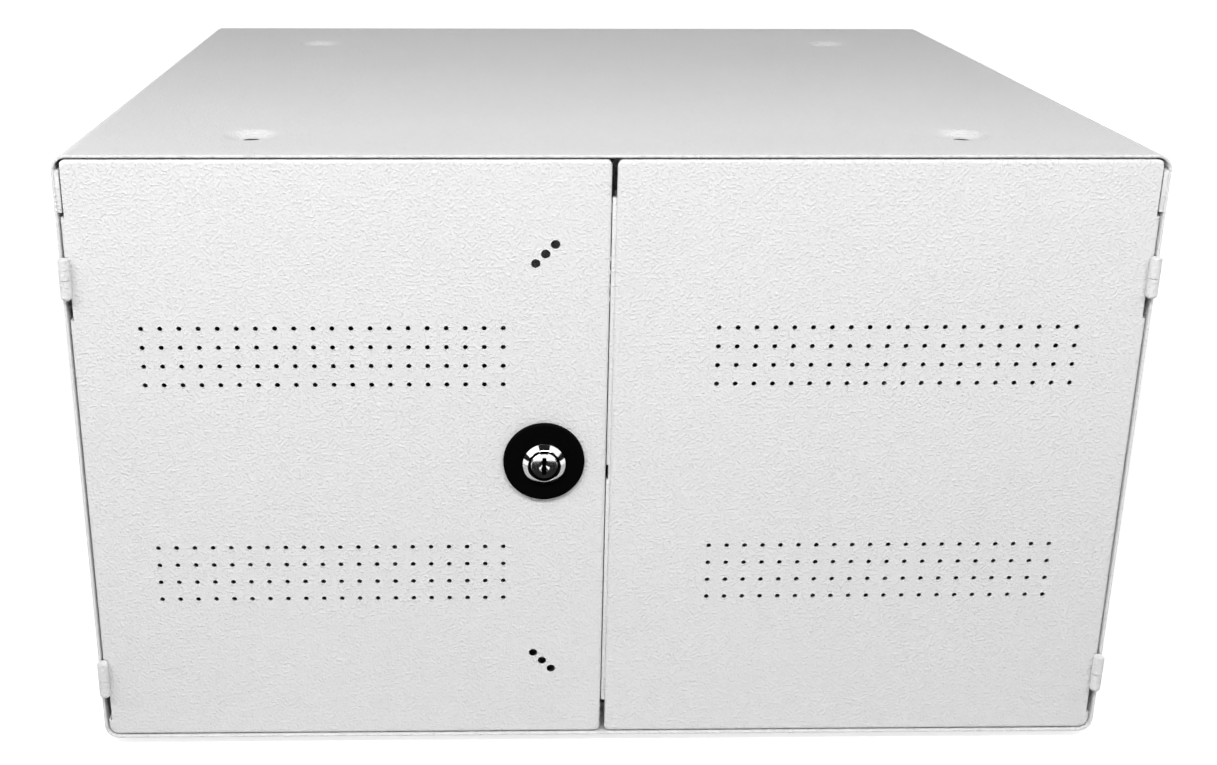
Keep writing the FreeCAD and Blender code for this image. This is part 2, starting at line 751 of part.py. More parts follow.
def make_door(side, label):
    body = doc.addObject("PartDesign::Body", label)
    face = facing_front(body, f"{label}_outline", front)
    rectangle(face, mirrored(side, door_inner, door_outer), (door_bottom, door_top))
    pad(body, f"{label}_block", face, s.door_depth, reverse=True)
    hinge_edge = door_outer * side
    free_edge = door_inner * side
    bend(body, f"{label}_hinge_corners", s.door_hinge_corner_radius, lambda edge: (
        runs_along(edge, 1) and lies_at(edge, 0, hinge_edge)))
    bend(body, f"{label}_free_corners", s.door_free_corner_radius, lambda edge: (
        runs_along(edge, 1) and lies_at(edge, 0, free_edge)))
    bend(body, f"{label}_bends", s.door_bend_radius, lambda edge: lies_at(edge, 1, front))
    tray = facing_front(body, f"{label}_tray", front + s.door_depth)
    wall = s.door_gauge
    rectangle(tray, mirrored(side, door_inner + wall, door_outer - wall),
              (door_bottom + wall, door_top - wall))
    pocket(body, f"{label}_hollow", tray, s.door_depth - wall, reverse=True)

    reliefs = facing_front(body, f"{label}_reliefs", front + s.door_depth)
    free_flange = mirrored(side, door_inner - wall, door_inner + wall)
    rectangle(reliefs, free_flange, (door_top - s.free_flange_relief, door_top + s.overrun))
    rectangle(reliefs, free_flange, (door_bottom - s.overrun, door_bottom + s.free_flange_relief))
    pocket(body, f"{label}_flange_reliefs", reliefs, s.door_depth - wall, reverse=True)

    edge_cuts = facing_front(body, f"{label}_edge_cuts", front)
    notch = mirrored(side, door_outer - s.hinge_edge_relief, door_outer + s.overrun)
    upper = hinge_joints["upper"]
    lower = hinge_joints["lower"]
    reach = s.knuckle_length + s.knuckle_gap
    rectangle(edge_cuts, notch, (door_top - s.top_relief_length, door_top + s.overrun))
    rectangle(edge_cuts, notch, (upper - reach - s.lift_off_relief, upper + reach))
    rectangle(edge_cuts, notch, (lower - reach - s.lower_hinge_relief, lower + reach))
    pocket(body, f"{label}_notches", edge_cuts, s.door_depth)

    perforation = facing_front(body, f"{label}_perforation", front)
    span = door_outer - s.vent_outer_inset - s.vent_inner_offset
    first_x = s.vent_inner_offset if side > 0 else -s.vent_inner_offset - span
    low_z = feature_z - s.vent_group_offset - s.vent_pitch_z * (VENT_ROWS - 1) / 2
    circle(perforation, first_x, low_z, s.vent_hole_diameter)
    circle(perforation, first_x, low_z + 2 * s.vent_group_offset, s.vent_hole_diameter)
    drilled = pocket(body, f"{label}_perforation_cut", perforation, wall)
    columns = ("X_Axis", span / (VENT_COLUMNS - 1), VENT_COLUMNS)
    rows = ("Z_Axis", s.vent_pitch_z, VENT_ROWS)
    repeat(body, f"{label}_perforations", [drilled], columns, rows)
    return body


def make_left_door():
    body = make_door(-1, "left_door_panel")
    holes = facing_front(body, "left_door_holes", front)
    circle(holes, lock_x, lock_z, s.barrel_diameter + 2 * s.barrel_clearance)
    for number in range(MARK_HOLES):
        shift = s.mark_hole_step * (number - (MARK_HOLES - 1) / 2)
        circle(holes, lock_x + shift, feature_z + s.mark_group_offset + shift, s.mark_hole_diameter)
        circle(holes, lock_x + shift, feature_z - s.mark_group_offset - shift, s.mark_hole_diameter)
    pocket(body, "left_door_drilling", holes, s.door_gauge)
    node(body, "left_door_panel")


def make_right_door():
    body = make_door(1, "right_door_panel")
    notch = facing_front(body, "right_door_flange_notch", front + s.door_depth)
    flange = (door_inner - s.door_gauge, door_inner + s.door_gauge)
    notch_middle = feature_z - s.flange_notch_drop
    half = s.flange_notch_height / 2
    rectangle(notch, flange, (notch_middle - half, notch_middle + half))
    pocket(body, "right_door_flange_notch_cut", notch, s.flange_notch_depth, reverse=True)
    node(body, "right_door_panel")


def make_closing_strip():
    """A flat bar on the right door's free flange that narrows the gap to the left door."""
    left = s.closing_strip_gap - door_inner
    face = front + s.closing_strip_setback
    depth = (face, face + s.closing_strip_depth)
    heights = (door_bottom + s.free_flange_relief, door_top - s.free_flange_relief)
    bar = box("closing_bar", (left, door_inner), depth, heights)
    notch_middle = feature_z - s.closing_notch_drop
    half = s.closing_notch_height / 2
    notch = box("closing_bar_notch", (left - s.overrun, left + s.closing_notch_width), depth,
                (notch_middle - half, notch_middle + half))
    node(cut("closing_strip", bar, notch), "closing_strip")


# Hinges

def make_hinge(side, side_name, level):
    """A base knuckle on the shell, its pin, and the knuckle on the door that lifts off it."""
    name = f"{side_name}_{level}"
    joint = hinge_joints[level]
    axis = {"x": hinge_x * side, "y": hinge_y}
    low = joint - s.knuckle_length
    high = joint + s.knuckle_gap + s.knuckle_length
    leaf_out = inner_right
    leaf_in = leaf_out - s.hinge_leaf_gauge
    base_leaf = box(
        f"hinge_base_leaf_{name}",
        mirrored(side, leaf_in, leaf_out),
        (hinge_y, front + s.hinge_leaf_length),
        (low + s.knuckle_end_radius, joint),
    )
    barrel = rod(f"hinge_base_barrel_{name}", "z", (low, joint), s.knuckle_diameter, **axis)
    rounded = round_edges(f"hinge_base_round_{name}", barrel, s.knuckle_end_radius,
                          lambda edge: lies_at(edge, 2, low))
    seat = rod(f"hinge_base_seat_{name}", "z", (low + s.hinge_pin_seat, joint), s.hinge_pin_diameter, **axis)
    node(cut(f"hinge_base_{name}", join(f"hinge_base_solid_{name}", rounded, base_leaf), seat),
         f"hinge_base_{name}")

    pin_top = high - s.hinge_pin_seat
    pin = rod(f"hinge_pin_{name}", "z", (low + s.hinge_pin_seat, pin_top), s.hinge_pin_diameter, **axis)
    node(pin, f"hinge_pin_{name}")

    start = joint + s.knuckle_gap
    door_barrel = rod(f"hinge_door_barrel_{name}", "z", (start, high), s.knuckle_diameter, **axis)
    door_round = round_edges(f"hinge_door_round_{name}", door_barrel, s.knuckle_top_radius,
                             lambda edge: lies_at(edge, 2, high))
    tongue_out = door_outer - s.hinge_leaf_setback
    tongue_in = tongue_out - s.hinge_leaf_gauge
    weld = front + s.door_gauge
    leaf_span = (start, high - s.knuckle_top_radius)
    tongue = box(f"hinge_door_tongue_{name}", mirrored(side, tongue_in, tongue_out),
                 (hinge_y, weld + s.hinge_leaf_gauge), leaf_span)
    leaf = box(f"hinge_door_leaf_{name}", mirrored(side, tongue_in - s.hinge_leaf_length, tongue_out),
               (weld, weld + s.hinge_leaf_gauge), leaf_span)
    running = s.hinge_pin_diameter + 2 * s.hinge_running_clearance
    bore_top = pin_top + s.knuckle_gap
    bore = rod(f"hinge_door_bore_{name}", "z", (start, bore_top), running, **axis)
    solid = join(f"hinge_door_solid_{name}", door_round, tongue, leaf)
    node(cut(f"hinge_knuckle_{name}", solid, bore), f"hinge_knuckle_{name}")


def make_lift_stop(side, side_name):
    """A lug that fills the notch at the top of a door's hinge edge."""
    notch_edge = door_outer - s.hinge_edge_relief
    notch_floor = door_top - s.top_relief_length
    lug = box(f"lift_stop_{side_name}", mirrored(side, notch_edge + s.lug_side_gap, inner_right),
              (front + s.lug_setback, frame_front), (notch_floor + s.lug_end_gap, ceiling - inside_bend))
    node(lug, f"lift_stop_{side_name}")


# Lock

def make_lock():
    at_lock = {"x": lock_x, "z": lock_z}
    disc_front = front - s.escutcheon_thickness
    disc = rod("escutcheon_disc", "y", (disc_front, front), s.escutcheon_diameter, **at_lock)
    disc_round = round_edges("escutcheon_round", disc, s.escutcheon_edge_radius,
                             lambda edge: lies_at(edge, 1, disc_front))
    hole = s.barrel_diameter + 2 * s.barrel_clearance
    disc_hole = rod("escutcheon_hole", "y", (disc_front, front), hole, **at_lock)
    node(cut("lock_escutcheon", disc_round, disc_hole), "lock_escutcheon")

    face = disc_front - s.bezel_length
    barrel_end = front + s.barrel_reach
    shoulder = face + s.bezel_slope_length
    slope = taper("lock_bezel_slope", "y", (face, shoulder), s.bezel_face_diameter, s.bezel_base_diameter,
                  **at_lock)
    collar = rod("lock_bezel_collar", "y", (shoulder, disc_front), s.bezel_base_diameter, **at_lock)
    barrel = rod("lock_barrel", "y", (disc_front, barrel_end), s.barrel_diameter, **at_lock)
    running = s.plug_diameter + 2 * s.plug_running_clearance
    bore = rod("lock_bore", "y", (face - s.overrun, barrel_end), running, **at_lock)
    node(cut("lock_housing", join("lock_housing_solid", slope, collar, barrel), bore), "lock_housing")

    seat = front + s.door_gauge
    nut_span = (seat, seat + s.lock_nut_thickness)
    nut = hexagon("lock_nut_blank", "y", nut_span, s.lock_nut_across_corners, **at_lock)
    nut_hole = rod("lock_nut_hole", "y", nut_span, s.barrel_diameter + s.barrel_clearance, **at_lock)
    node(cut("lock_nut", nut, nut_hole), "lock_nut")

    plug_face = face - s.plug_stand_out
    plug = rod("lock_plug_core", "y", (plug_face, barrel_end), s.plug_diameter, **at_lock)
    half_square = s.cam_square / 2
    tail = box("lock_plug_tail", (lock_x - half_square, lock_x + half_square), (barrel_end, cam_back),
               (lock_z - half_square, lock_z + half_square))
    half_key = s.keyway_width / 2
    keyway = box("keyway", (lock_x - half_key, lock_x + half_key),
                 (plug_face - s.overrun, plug_face + s.keyway_depth),
                 (lock_z - s.keyway_height / 2, lock_z + s.keyway_height / 2))
    mouth = rod("keyway_mouth", "y", (plug_face - s.overrun, plug_face + s.keyway_mouth_depth),
                s.keyway_mouth_width, **at_lock)
    screw_hole = s.cam_screw_diameter + 2 * s.cam_clearance
    screw_tip = cam_back - s.cam_screw_length
    thread = rod("cam_screw_thread", "y", (screw_tip, cam_back), screw_hole, **at_lock)
    node(cut("lock_plug", join("lock_plug_solid", plug, tail), keyway, mouth, thread), "lock_plug")

    end_disc = rod("cam_end", "y", (cam_front, cam_back), s.cam_end_diameter, **at_lock)
    tongue = box("cam_tongue", (lock_x - s.cam_width / 2, lock_x + s.cam_width / 2), (cam_front, cam_back),
                 (lock_z - s.cam_reach, lock_z))
    half_hole = half_square + s.cam_clearance
    square = box("cam_square_hole", (lock_x - half_hole, lock_x + half_hole), (cam_front, cam_back),
                 (lock_z - half_hole, lock_z + half_hole))
    node(cut("lock_cam", join("lock_cam_solid", end_disc, tongue), square), "lock_cam")
    screw = pan_screw("cam_screw", (cam_back, cam_back + s.cam_screw_head_height), (screw_tip, cam_back),
                      s.cam_screw_head_diameter, s.cam_screw_diameter, **at_lock)
    node(screw, "cam_screw")


# Slide bolts that hold the right door behind the front frame

bolt_x = door_inner + s.bolt_offset
bolt_y = frame_back + s.bolt_lip_clearance + s.bolt_diameter / 2


def make_bolt(name, lip_edge, up):
    """A bolt and its guide; up is 1 for the bolt at the top of the door and -1 at its foot."""
    def span(near, far):
        return (lip_edge - far, lip_edge - near) if up > 0 else (lip_edge + near, lip_edge + far)

    guide_left = door_inner + s.door_gauge
    guide_back = bolt_y + s.bolt_diameter / 2 + s.guide_wall
    guide_span = span(s.guide_drop, s.guide_drop + s.guide_height)
    block = box(f"{name}_guide_block", (guide_left, guide_left + s.guide_width + s.guide_wall),
                (guide_back - s.guide_depth, guide_back), guide_span)
    bore = rod(f"{name}_guide_bore", "z", guide_span, s.bolt_diameter + 2 * s.bolt_running_clearance,
               x=bolt_x, y=bolt_y)
    node(cut(f"{name}_guide", block, bore), f"{name}_guide")
    stem = rod(f"{name}_stem", "z", span(s.bolt_drop, s.bolt_drop + s.bolt_length), s.bolt_diameter,
               x=bolt_x, y=bolt_y)
    far_end = s.bolt_drop + s.bolt_length - s.bolt_knob_inset
    knob_z = lip_edge - far_end * up
    knob = rod(f"{name}_knob", "y", (bolt_y, bolt_y + s.bolt_knob_length), s.bolt_knob_diameter,
               x=bolt_x, z=knob_z)
    node(join(name, stem, knob), name)


def make_bolts():
    make_bolt("top_bolt", ceiling - s.front_lip, 1)
    make_bolt("bottom_bolt", floor + s.front_lip, -1)


# Device bay

partition_front = panel_front - s.charger_bay_depth
divider_front = front + s.divider_front_inset
divider_back = partition_front - s.divider_rear_gap
rail_top = floor + s.rail_height
bay_pitch = 2 * inner_right / (DIVIDER_COUNT + 1)
divider_places = [bay_pitch * (number - (DIVIDER_COUNT - 1) / 2) for number in range(DIVIDER_COUNT)]
bay_places = [bay_pitch * (number - DIVIDER_COUNT / 2) for number in range(DIVIDER_COUNT + 1)]
rail_middles = {"front": divider_front + s.rail_inset, "rear": divider_back - s.rail_inset}


def make_rails():
    half_width = s.rail_width / 2
    reach = inner_right - inside_bend
    for name, y in rail_middles.items():
        label = f"{name}_floor_rail"
        body = doc.addObject("PartDesign::Body", label)
        section = sketch(body, f"{label}_section", "YZ_Plane", -reach)
        inside = half_width - s.rail_gauge
        under = rail_top - s.rail_gauge
        outline(section, [
            (y - half_width, floor), (y - inside, floor), (y - inside, under), (y + inside, under),
            (y + inside, floor), (y + half_width, floor),
            (y + half_width, rail_top), (y - half_width, rail_top),
        ])
        pad(body, f"{label}_channel", section, 2 * reach)
        slot = sketch(body, f"{label}_slot", "XY_Plane", rail_top)
        half_slot = s.divider_gauge / 2 + s.divider_slot_clearance
        half_tab = s.divider_tab_width / 2 + s.divider_slot_clearance
        first = divider_places[0]
        rectangle(slot, (first - half_slot, first + half_slot), (y - half_tab, y + half_tab))
        slot_cut = pocket(body, f"{label}_slot_cut", slot, s.rail_gauge)
        repeat(body, f"{label}_slots", [slot_cut], ("X_Axis", bay_pitch, DIVIDER_COUNT))
        node(body, label)


def make_dividers():
    plate_top = rail_top + s.divider_height
    for number, x in enumerate(divider_places, 1):
        label = f"divider_{number}"
        body = doc.addObject("PartDesign::Body", label)
        face = sketch(body, f"{label}_outline", "YZ_Plane", x - s.divider_gauge / 2)
        corners = [(divider_front, rail_top)]
        for y in rail_middles.values():
            half_tab = s.divider_tab_width / 2
            tab_end = rail_top - s.divider_tab_length
            corners += [(y - half_tab, rail_top), (y - half_tab, tab_end),
                        (y + half_tab, tab_end), (y + half_tab, rail_top)]
        corners += [(divider_back, rail_top), (divider_back, plate_top), (divider_front, plate_top)]
        outline(face, corners)
        pad(body, f"{label}_plate", face, s.divider_gauge)
        bend(body, f"{label}_corners", s.divider_corner_radius, lambda edge: (
            runs_along(edge, 0) and lies_at(edge, 2, plate_top)))
        node(body, label)


def make_partition():
    body = doc.addObject("PartDesign::Body", "charger_partition")
    partition_back = partition_front + s.partition_gauge
    partition_top = floor + s.partition_height
    reach = inner_right - inside_bend
    section = sketch(body, "partition_section", "YZ_Plane", -reach)
    outline(section, [
        (partition_front, floor), (partition_front + s.partition_foot, floor),
        (partition_front + s.partition_foot, floor + s.partition_gauge),
        (partition_back, floor + s.partition_gauge), (partition_back, partition_top),
        (partition_front, partition_top),
    ])
    pad(body, "partition_sheet", section, 2 * reach)
    notch = facing_front(body, "lead_notch", partition_front)
    half = s.lead_notch_width / 2
    first = bay_places[0]
    rectangle(notch, (first - half, first + half), (partition_top - s.lead_notch_depth, partition_top))
    notch_cut = pocket(body, "lead_notch_cut", notch, s.partition_gauge)
    repeat(body, "lead_notches", [notch_cut], ("X_Axis", bay_pitch, DIVIDER_COUNT + 1))
    bend(body, "lead_notch_rounds", s.lead_notch_radius, lambda edge: (
        runs_along(edge, 1) and lies_at(edge, 2, partition_top - s.lead_notch_depth)))
    node(body, "charger_partition")


# Power strip

strip_right = inner_right - s.strip_side_gap
switch_x = strip_right - s.switch_inset
button_x = strip_right - s.button_inset
first_outlet_x = s.outlet_first_inset - strip_right
outlet_run = switch_x - s.outlet_switch_gap - first_outlet_x
outlet_count = int(outlet_run.value / s.outlet_pitch.value) + 1
outlet_places = [first_outlet_x + s.outlet_pitch * n for n in range(outlet_count)]
inlet_x = strip_right - s.inlet_end_inset
inlet_screw_places = [inlet_x + (s.inlet_width / 2 + s.inlet_flange / 2) * way for way in (-1, 1)]


def block_round(name, x, z, width, height, y):
    """A block of a width and a height about a point in X and Z."""
    return box(name, (x - width / 2, x + width / 2), y, (z - height / 2, z + height / 2))


def make_strip_housing():
    whole = box("strip_block", (-strip_right, strip_right), (strip_front, strip_back),
                (strip_bottom, strip_top))
    wall = s.strip_wall
    hollow = box("strip_hollow", (-strip_right, strip_right), (strip_front + wall, strip_back - wall),
                 (strip_bottom + wall, strip_top - wall))
    front_wall = (strip_front - s.overrun, strip_front + wall)
    fit = 2 * s.outlet_clearance
    windows = [
        block_round(f"strip_window_{n}", x, strip_middle, s.outlet_width + fit, s.outlet_height + fit,
                    front_wall)
        for n, x in enumerate(outlet_places, 1)
    ]
    windows.append(block_round("switch_window", switch_x, strip_middle, s.switch_width + fit,
                               s.switch_height + fit, front_wall))
    button_hole = s.button_diameter + 2 * s.button_hole_clearance
    windows.append(rod("button_window", "y", front_wall, button_hole, x=button_x, z=strip_middle))
    rear_wall = (strip_back - wall, strip_back + s.overrun)
    windows.append(block_round("inlet_window", inlet_x, strip_middle, s.inlet_width + 2 * s.inlet_clearance,
                               s.inlet_height + 2 * s.inlet_clearance, rear_wall))
    for n, x in enumerate(inlet_screw_places, 1):
        windows.append(rod(f"inlet_screw_window_{n}", "y", rear_wall,
                           s.inlet_screw_diameter + 2 * s.screw_hole_clearance, x=x, z=strip_middle))
    node(cut("power_strip_housing", whole, hollow, *windows), "power_strip_housing")
    caps = []
    for n, side in enumerate((-1, 1), 1):
        span = mirrored(side, strip_right, strip_right + s.strip_cap_thickness)
        cap = box(f"strip_cap_block_{n}", span, (strip_front, strip_back), (strip_bottom, strip_top))
        caps.append(round_edges(f"strip_cap_{n}", cap, s.strip_cap_radius, lambda edge: runs_along(edge, 0)))
    node(group("power_strip_end_caps", caps), "power_strip_end_caps")


def make_strip_brackets():
    brackets = []
    for n, x in enumerate(bracket_places, 1):
        plate = block_round(f"strip_bracket_plate_{n}", x, strip_middle, s.strip_bracket_width,
                            s.strip_height + 2 * s.strip_bracket_ear, (strip_back, panel_front))
        holes = [
            rod(f"strip_bracket_hole_{n}_{k}", "y", (strip_back, panel_front),
                s.strip_screw_diameter + 2 * s.screw_hole_clearance, x=x, z=z)
            for k, z in enumerate(ear_heights)
        ]
        brackets.append(cut(f"strip_bracket_{n}", plate, *holes))
    node(group("power_strip_brackets", brackets), "power_strip_brackets")
    screws = [
        pan_screw(f"power_strip_screw_{n}", (strip_back - s.strip_screw_head_height, strip_back),
                  (strip_back, back), s.strip_screw_head_diameter, s.strip_screw_diameter, x=x, z=z)
        for n, (x, z) in enumerate(ear_places, 1)
    ]
    node(group("power_strip_screws", screws), "power_strip_screws")


def make_outlets():
    outlets = []
    for n, x in enumerate(outlet_places, 1):
        rim_front = strip_front - s.outlet_rim_thickness
        body = block_round(f"outlet_body_{n}", x, strip_middle, s.outlet_width, s.outlet_height,
                           (strip_front, strip_front + s.outlet_depth))
        rim = block_round(f"outlet_rim_{n}", x, strip_middle, s.outlet_width + 2 * s.outlet_rim,
                          s.outlet_height + 2 * s.outlet_rim, (rim_front, strip_front))
        groove_width = s.outlet_width - 2 * s.outlet_core_inset
        groove_height = s.outlet_height - 2 * s.outlet_core_inset
        groove_span = (rim_front - s.overrun, rim_front + s.outlet_groove_depth)
        pit = block_round(f"outlet_pit_{n}", x, strip_middle, groove_width, groove_height, groove_span)
        core = block_round(f"outlet_core_{n}", x, strip_middle, groove_width - 2 * s.outlet_groove,
                           groove_height - 2 * s.outlet_groove, groove_span)
        groove = cut(f"outlet_groove_{n}", pit, core)
        slots = [
            block_round(f"outlet_slot_{n}_{k}", x + s.outlet_slot_spread * way,
                        strip_middle + s.outlet_slot_shift * lift, s.outlet_slot_width, s.outlet_slot_height,
                        groove_span)
            for k, (way, lift) in enumerate(((-1, -1), (0, 1), (1, -1)))
        ]
        outlets.append(cut(f"outlet_{n}", join(f"outlet_solid_{n}", body, rim), groove, *slots))
    node(group("power_strip_outlets", outlets), "power_strip_outlets")


def make_switch():
    rim_front = strip_front - s.switch_rim_thickness
    body = block_round("switch_body", switch_x, strip_middle, s.switch_width, s.switch_height,
                       (strip_front, strip_front + s.switch_depth))
    rim = block_round("switch_rim", switch_x, strip_middle, s.switch_width + 2 * s.switch_rim,
                      s.switch_height + 2 * s.switch_rim, (rim_front, strip_front))
    well = block_round("switch_well", switch_x, strip_middle, s.switch_width - 2 * s.switch_wall,
                       s.switch_height - 2 * s.switch_wall,
                       (rim_front - s.overrun, strip_front + s.switch_depth - s.switch_wall))
    node(cut("switch_frame", join("switch_solid", body, rim), well), "switch_frame")

    body = doc.addObject("PartDesign::Body", "switch_rocker")
    body.Placement.Rotation = FreeCAD.Rotation(FreeCAD.Vector(1, 0, 0), ROCKER_TILT_DEGREES)
    place(body, x=switch_x, y=strip_front + s.rocker_pivot_depth, z=strip_middle)
    width = s.switch_width - 2 * s.switch_wall - 2 * s.rocker_clearance
    height = s.switch_height - 2 * s.switch_wall - 2 * s.rocker_end_gap
    level = -(s.rocker_pivot_depth + s.switch_rim_thickness)
    section = sketch(body, "rocker_section", "YZ_Plane", -width / 2)
    rectangle(section, (level - s.rocker_stand_out, ZERO), (-height / 2, height / 2))
    pad(body, "rocker_key", section, width)
    hollow = sketch(body, "rocker_hollow", "YZ_Plane", width / 2)
    circle(hollow, level - s.rocker_radius, ZERO, 2 * s.rocker_radius)
    pocket(body, "rocker_hollow_cut", hollow, width)
    node(body, "switch_rocker")


def make_button():
    rim_front = strip_front - s.button_collar_thickness
    at_button = {"x": button_x, "z": strip_middle}
    bore = s.button_diameter + 2 * s.button_running_clearance
    collar = rod("button_collar_ring", "y", (rim_front, strip_front), s.button_collar_diameter, **at_button)
    collar_bore = rod("button_collar_bore", "y", (rim_front, strip_front), bore, **at_button)
    node(cut("button_collar", collar, collar_bore), "button_collar")
    nose = rim_front - s.button_stand_out
    stem = rod("button_stem", "y", (nose, nose + s.button_length), s.button_diameter, **at_button)
    node(round_edges("reset_button", stem, s.button_nose_radius, lambda edge: lies_at(edge, 1, nose)),
         "reset_button")


def make_inlet():
    flange_back = back + s.inlet_flange_thickness
    plate_width = s.inlet_width + 2 * s.inlet_flange
    plate_height = s.inlet_height + 2 * s.inlet_flange_rim
    plate = block_round("inlet_plate", inlet_x, strip_middle, plate_width, plate_height, (back, flange_back))
    body = block_round("inlet_body", inlet_x, strip_middle, s.inlet_width, s.inlet_height,
                       (back - s.inlet_reach, back))
    recess_floor = flange_back - s.inlet_recess_depth
    recess = block_round("inlet_recess", inlet_x, strip_middle, s.inlet_recess_width,
                         s.inlet_recess_height, (recess_floor, flange_back + s.overrun))
    sink = (flange_back - s.inlet_screw_head_height, flange_back)
    fit = 2 * s.screw_hole_clearance
    holes = []
    for n, x in enumerate(inlet_screw_places, 1):
        holes.append(rod(f"inlet_hole_{n}", "y", (back, flange_back), s.inlet_screw_diameter + fit,
                         x=x, z=strip_middle))
        holes.append(taper(f"inlet_sink_{n}", "y", sink, s.inlet_screw_diameter + fit,
                           s.inlet_screw_head_diameter + fit, x=x, z=strip_middle))
    shell = cut("inlet_shell", join("inlet_solid", plate, body), recess, *holes)
    blades = [
        block_round(f"inlet_blade_{n}", inlet_x + s.inlet_blade_spread * way,
                    strip_middle + s.inlet_blade_shift * lift, s.inlet_blade_thickness, s.inlet_blade_width,
                    (recess_floor, recess_floor + s.inlet_blade_length))
        for n, (way, lift) in enumerate(((-1, -1), (0, 1), (1, -1)))
    ]
    node(shell, "mains_inlet")
    node(group("inlet_blades", blades), "inlet_blades")
    screws = []
    for n, x in enumerate(inlet_screw_places, 1):
        head = taper(f"inlet_screw_head_{n}", "y", sink, s.inlet_screw_diameter, s.inlet_screw_head_diameter,
                     x=x, z=strip_middle)
        shank = rod(f"inlet_screw_shank_{n}", "y", (flange_back - s.inlet_screw_length, sink[0]),
                    s.inlet_screw_diameter, x=x, z=strip_middle)
        screws.append(join(f"inlet_screw_{n}", head, shank))
    node(group("inlet_screws", screws), "inlet_screws")


make_shell()
make_front_frame()
make_rear_frame()
make_rear_panel()
make_rear_screws()
make_feet()
for side, side_name in ((-1, "left"), (1, "right")):
    make_lift_stop(side, side_name)
    for level in hinge_joints:
        make_hinge(side, side_name, level)
make_rails()
make_dividers()
make_partition()
make_strip_housing()
make_strip_brackets()
make_outlets()
make_switch()
make_button()
make_inlet()
make_left_door()
make_right_door()
make_closing_strip()
make_lock()
make_bolts()

doc.recompute()
for thing in doc.Objects:
    if "Invalid" in thing.State or "Error" in thing.State:
        raise RuntimeError(f"{thing.Label} failed: {thing.State}")
for part in sub_parts:
    if part.Shape.isNull() or not part.Shape.isValid():
        raise RuntimeError(f"{part.Label} has no valid shape")

os.makedirs("parts", exist_ok=True)
for part in sub_parts:
    part.Shape.exportStep(f"parts/{part.Label}.step")
print(len(sub_parts), "pieces written")
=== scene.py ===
import math

import bmesh
import bpy
from mathutils import Matrix, Vector


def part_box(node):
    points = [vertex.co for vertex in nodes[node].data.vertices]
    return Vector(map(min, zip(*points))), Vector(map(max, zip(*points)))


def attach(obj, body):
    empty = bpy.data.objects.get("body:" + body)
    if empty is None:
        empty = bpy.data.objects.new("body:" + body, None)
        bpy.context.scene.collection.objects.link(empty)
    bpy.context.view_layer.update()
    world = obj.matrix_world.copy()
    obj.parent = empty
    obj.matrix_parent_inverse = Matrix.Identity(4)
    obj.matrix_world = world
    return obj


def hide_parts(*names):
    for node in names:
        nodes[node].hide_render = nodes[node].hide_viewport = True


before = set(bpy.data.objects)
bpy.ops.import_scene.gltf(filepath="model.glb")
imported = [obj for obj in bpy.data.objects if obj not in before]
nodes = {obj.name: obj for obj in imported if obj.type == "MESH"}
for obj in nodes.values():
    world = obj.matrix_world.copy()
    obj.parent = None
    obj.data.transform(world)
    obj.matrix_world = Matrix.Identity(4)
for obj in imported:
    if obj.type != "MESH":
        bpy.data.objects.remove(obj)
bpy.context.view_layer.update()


# The shell is one sheet of 1.5 mm steel folded round into a sleeve, open at the front and the back.
# Four dishes are pressed into its top for the bolts of a second cabinet. It is sprayed with white
# powder and baked, which leaves a fine orange-peel skin on every face.

class Shade:
    """A socket in a node tree. Sums of it with numbers or other sockets add Math nodes."""

    def __init__(self, tree, socket):
        self.tree = tree
        self.socket = socket

    def add(self, kind, settings, inputs, output=0):
        """Adds a node of a type: first its settings, then the values or links of its sockets."""
        node = self.tree.nodes.new(kind)
        for name, setting in settings.items():
            setattr(node, name, setting)
        for name, value in inputs.items():
            for source in value if isinstance(value, list) else [value]:
                if isinstance(source, Shade):
                    self.tree.links.new(source.socket, node.inputs[name])
                else:
                    node.inputs[name].default_value = source
        return Shade(self.tree, node.outputs[output])

    def math(self, operation, *operands):
        return self.add("ShaderNodeMath", {"operation": operation}, dict(enumerate(operands)))

    def __add__(self, other):
        return self.math("ADD", self, other)

    def __sub__(self, other):
        return self.math("SUBTRACT", self, other)

    def __rsub__(self, other):
        return self.math("SUBTRACT", other, self)

    def __mul__(self, other):
        return self.math("MULTIPLY", self, other)

    __radd__ = __add__
    __rmul__ = __mul__


def new_finish(name):
    """A material, its shader, and the Object coordinates that its patterns read."""
    material = bpy.data.materials.new(name)
    material.use_nodes = True
    tree = material.node_tree
    place = Shade(tree, tree.nodes.new("ShaderNodeTexCoord").outputs["Object"])
    return material, tree.nodes["Principled BSDF"], place


def feed(shader, **inputs):
    """Sets or links the shader's sockets; an underscore in a name stands for a space."""
    for name, value in inputs.items():
        socket = shader.inputs[name.replace("_", " ")]
        if isinstance(value, Shade):
            value.tree.links.new(value.socket, socket)
        else:
            socket.default_value = value


def grey(tone):
    return (tone, tone, tone)


def blend_colours(factor, low, high):
    """From the low colour to the high one, both with three channels."""
    colours = {"Factor": factor, 6: (*low, 1), 7: (*high, 1)}
    return factor.add("ShaderNodeMix", {"data_type": "RGBA"}, colours, 2)


def noise(place, size, detail=2.0):
    """Cloudy noise whose patches are about size metres across."""
    return place.add("ShaderNodeTexNoise", {}, {"Vector": place, "Scale": 1 / size, "Detail": detail})


def bump(height, strength, depth):
    return height.add("ShaderNodeBump", {}, {"Height": height, "Strength": strength, "Distance": depth})


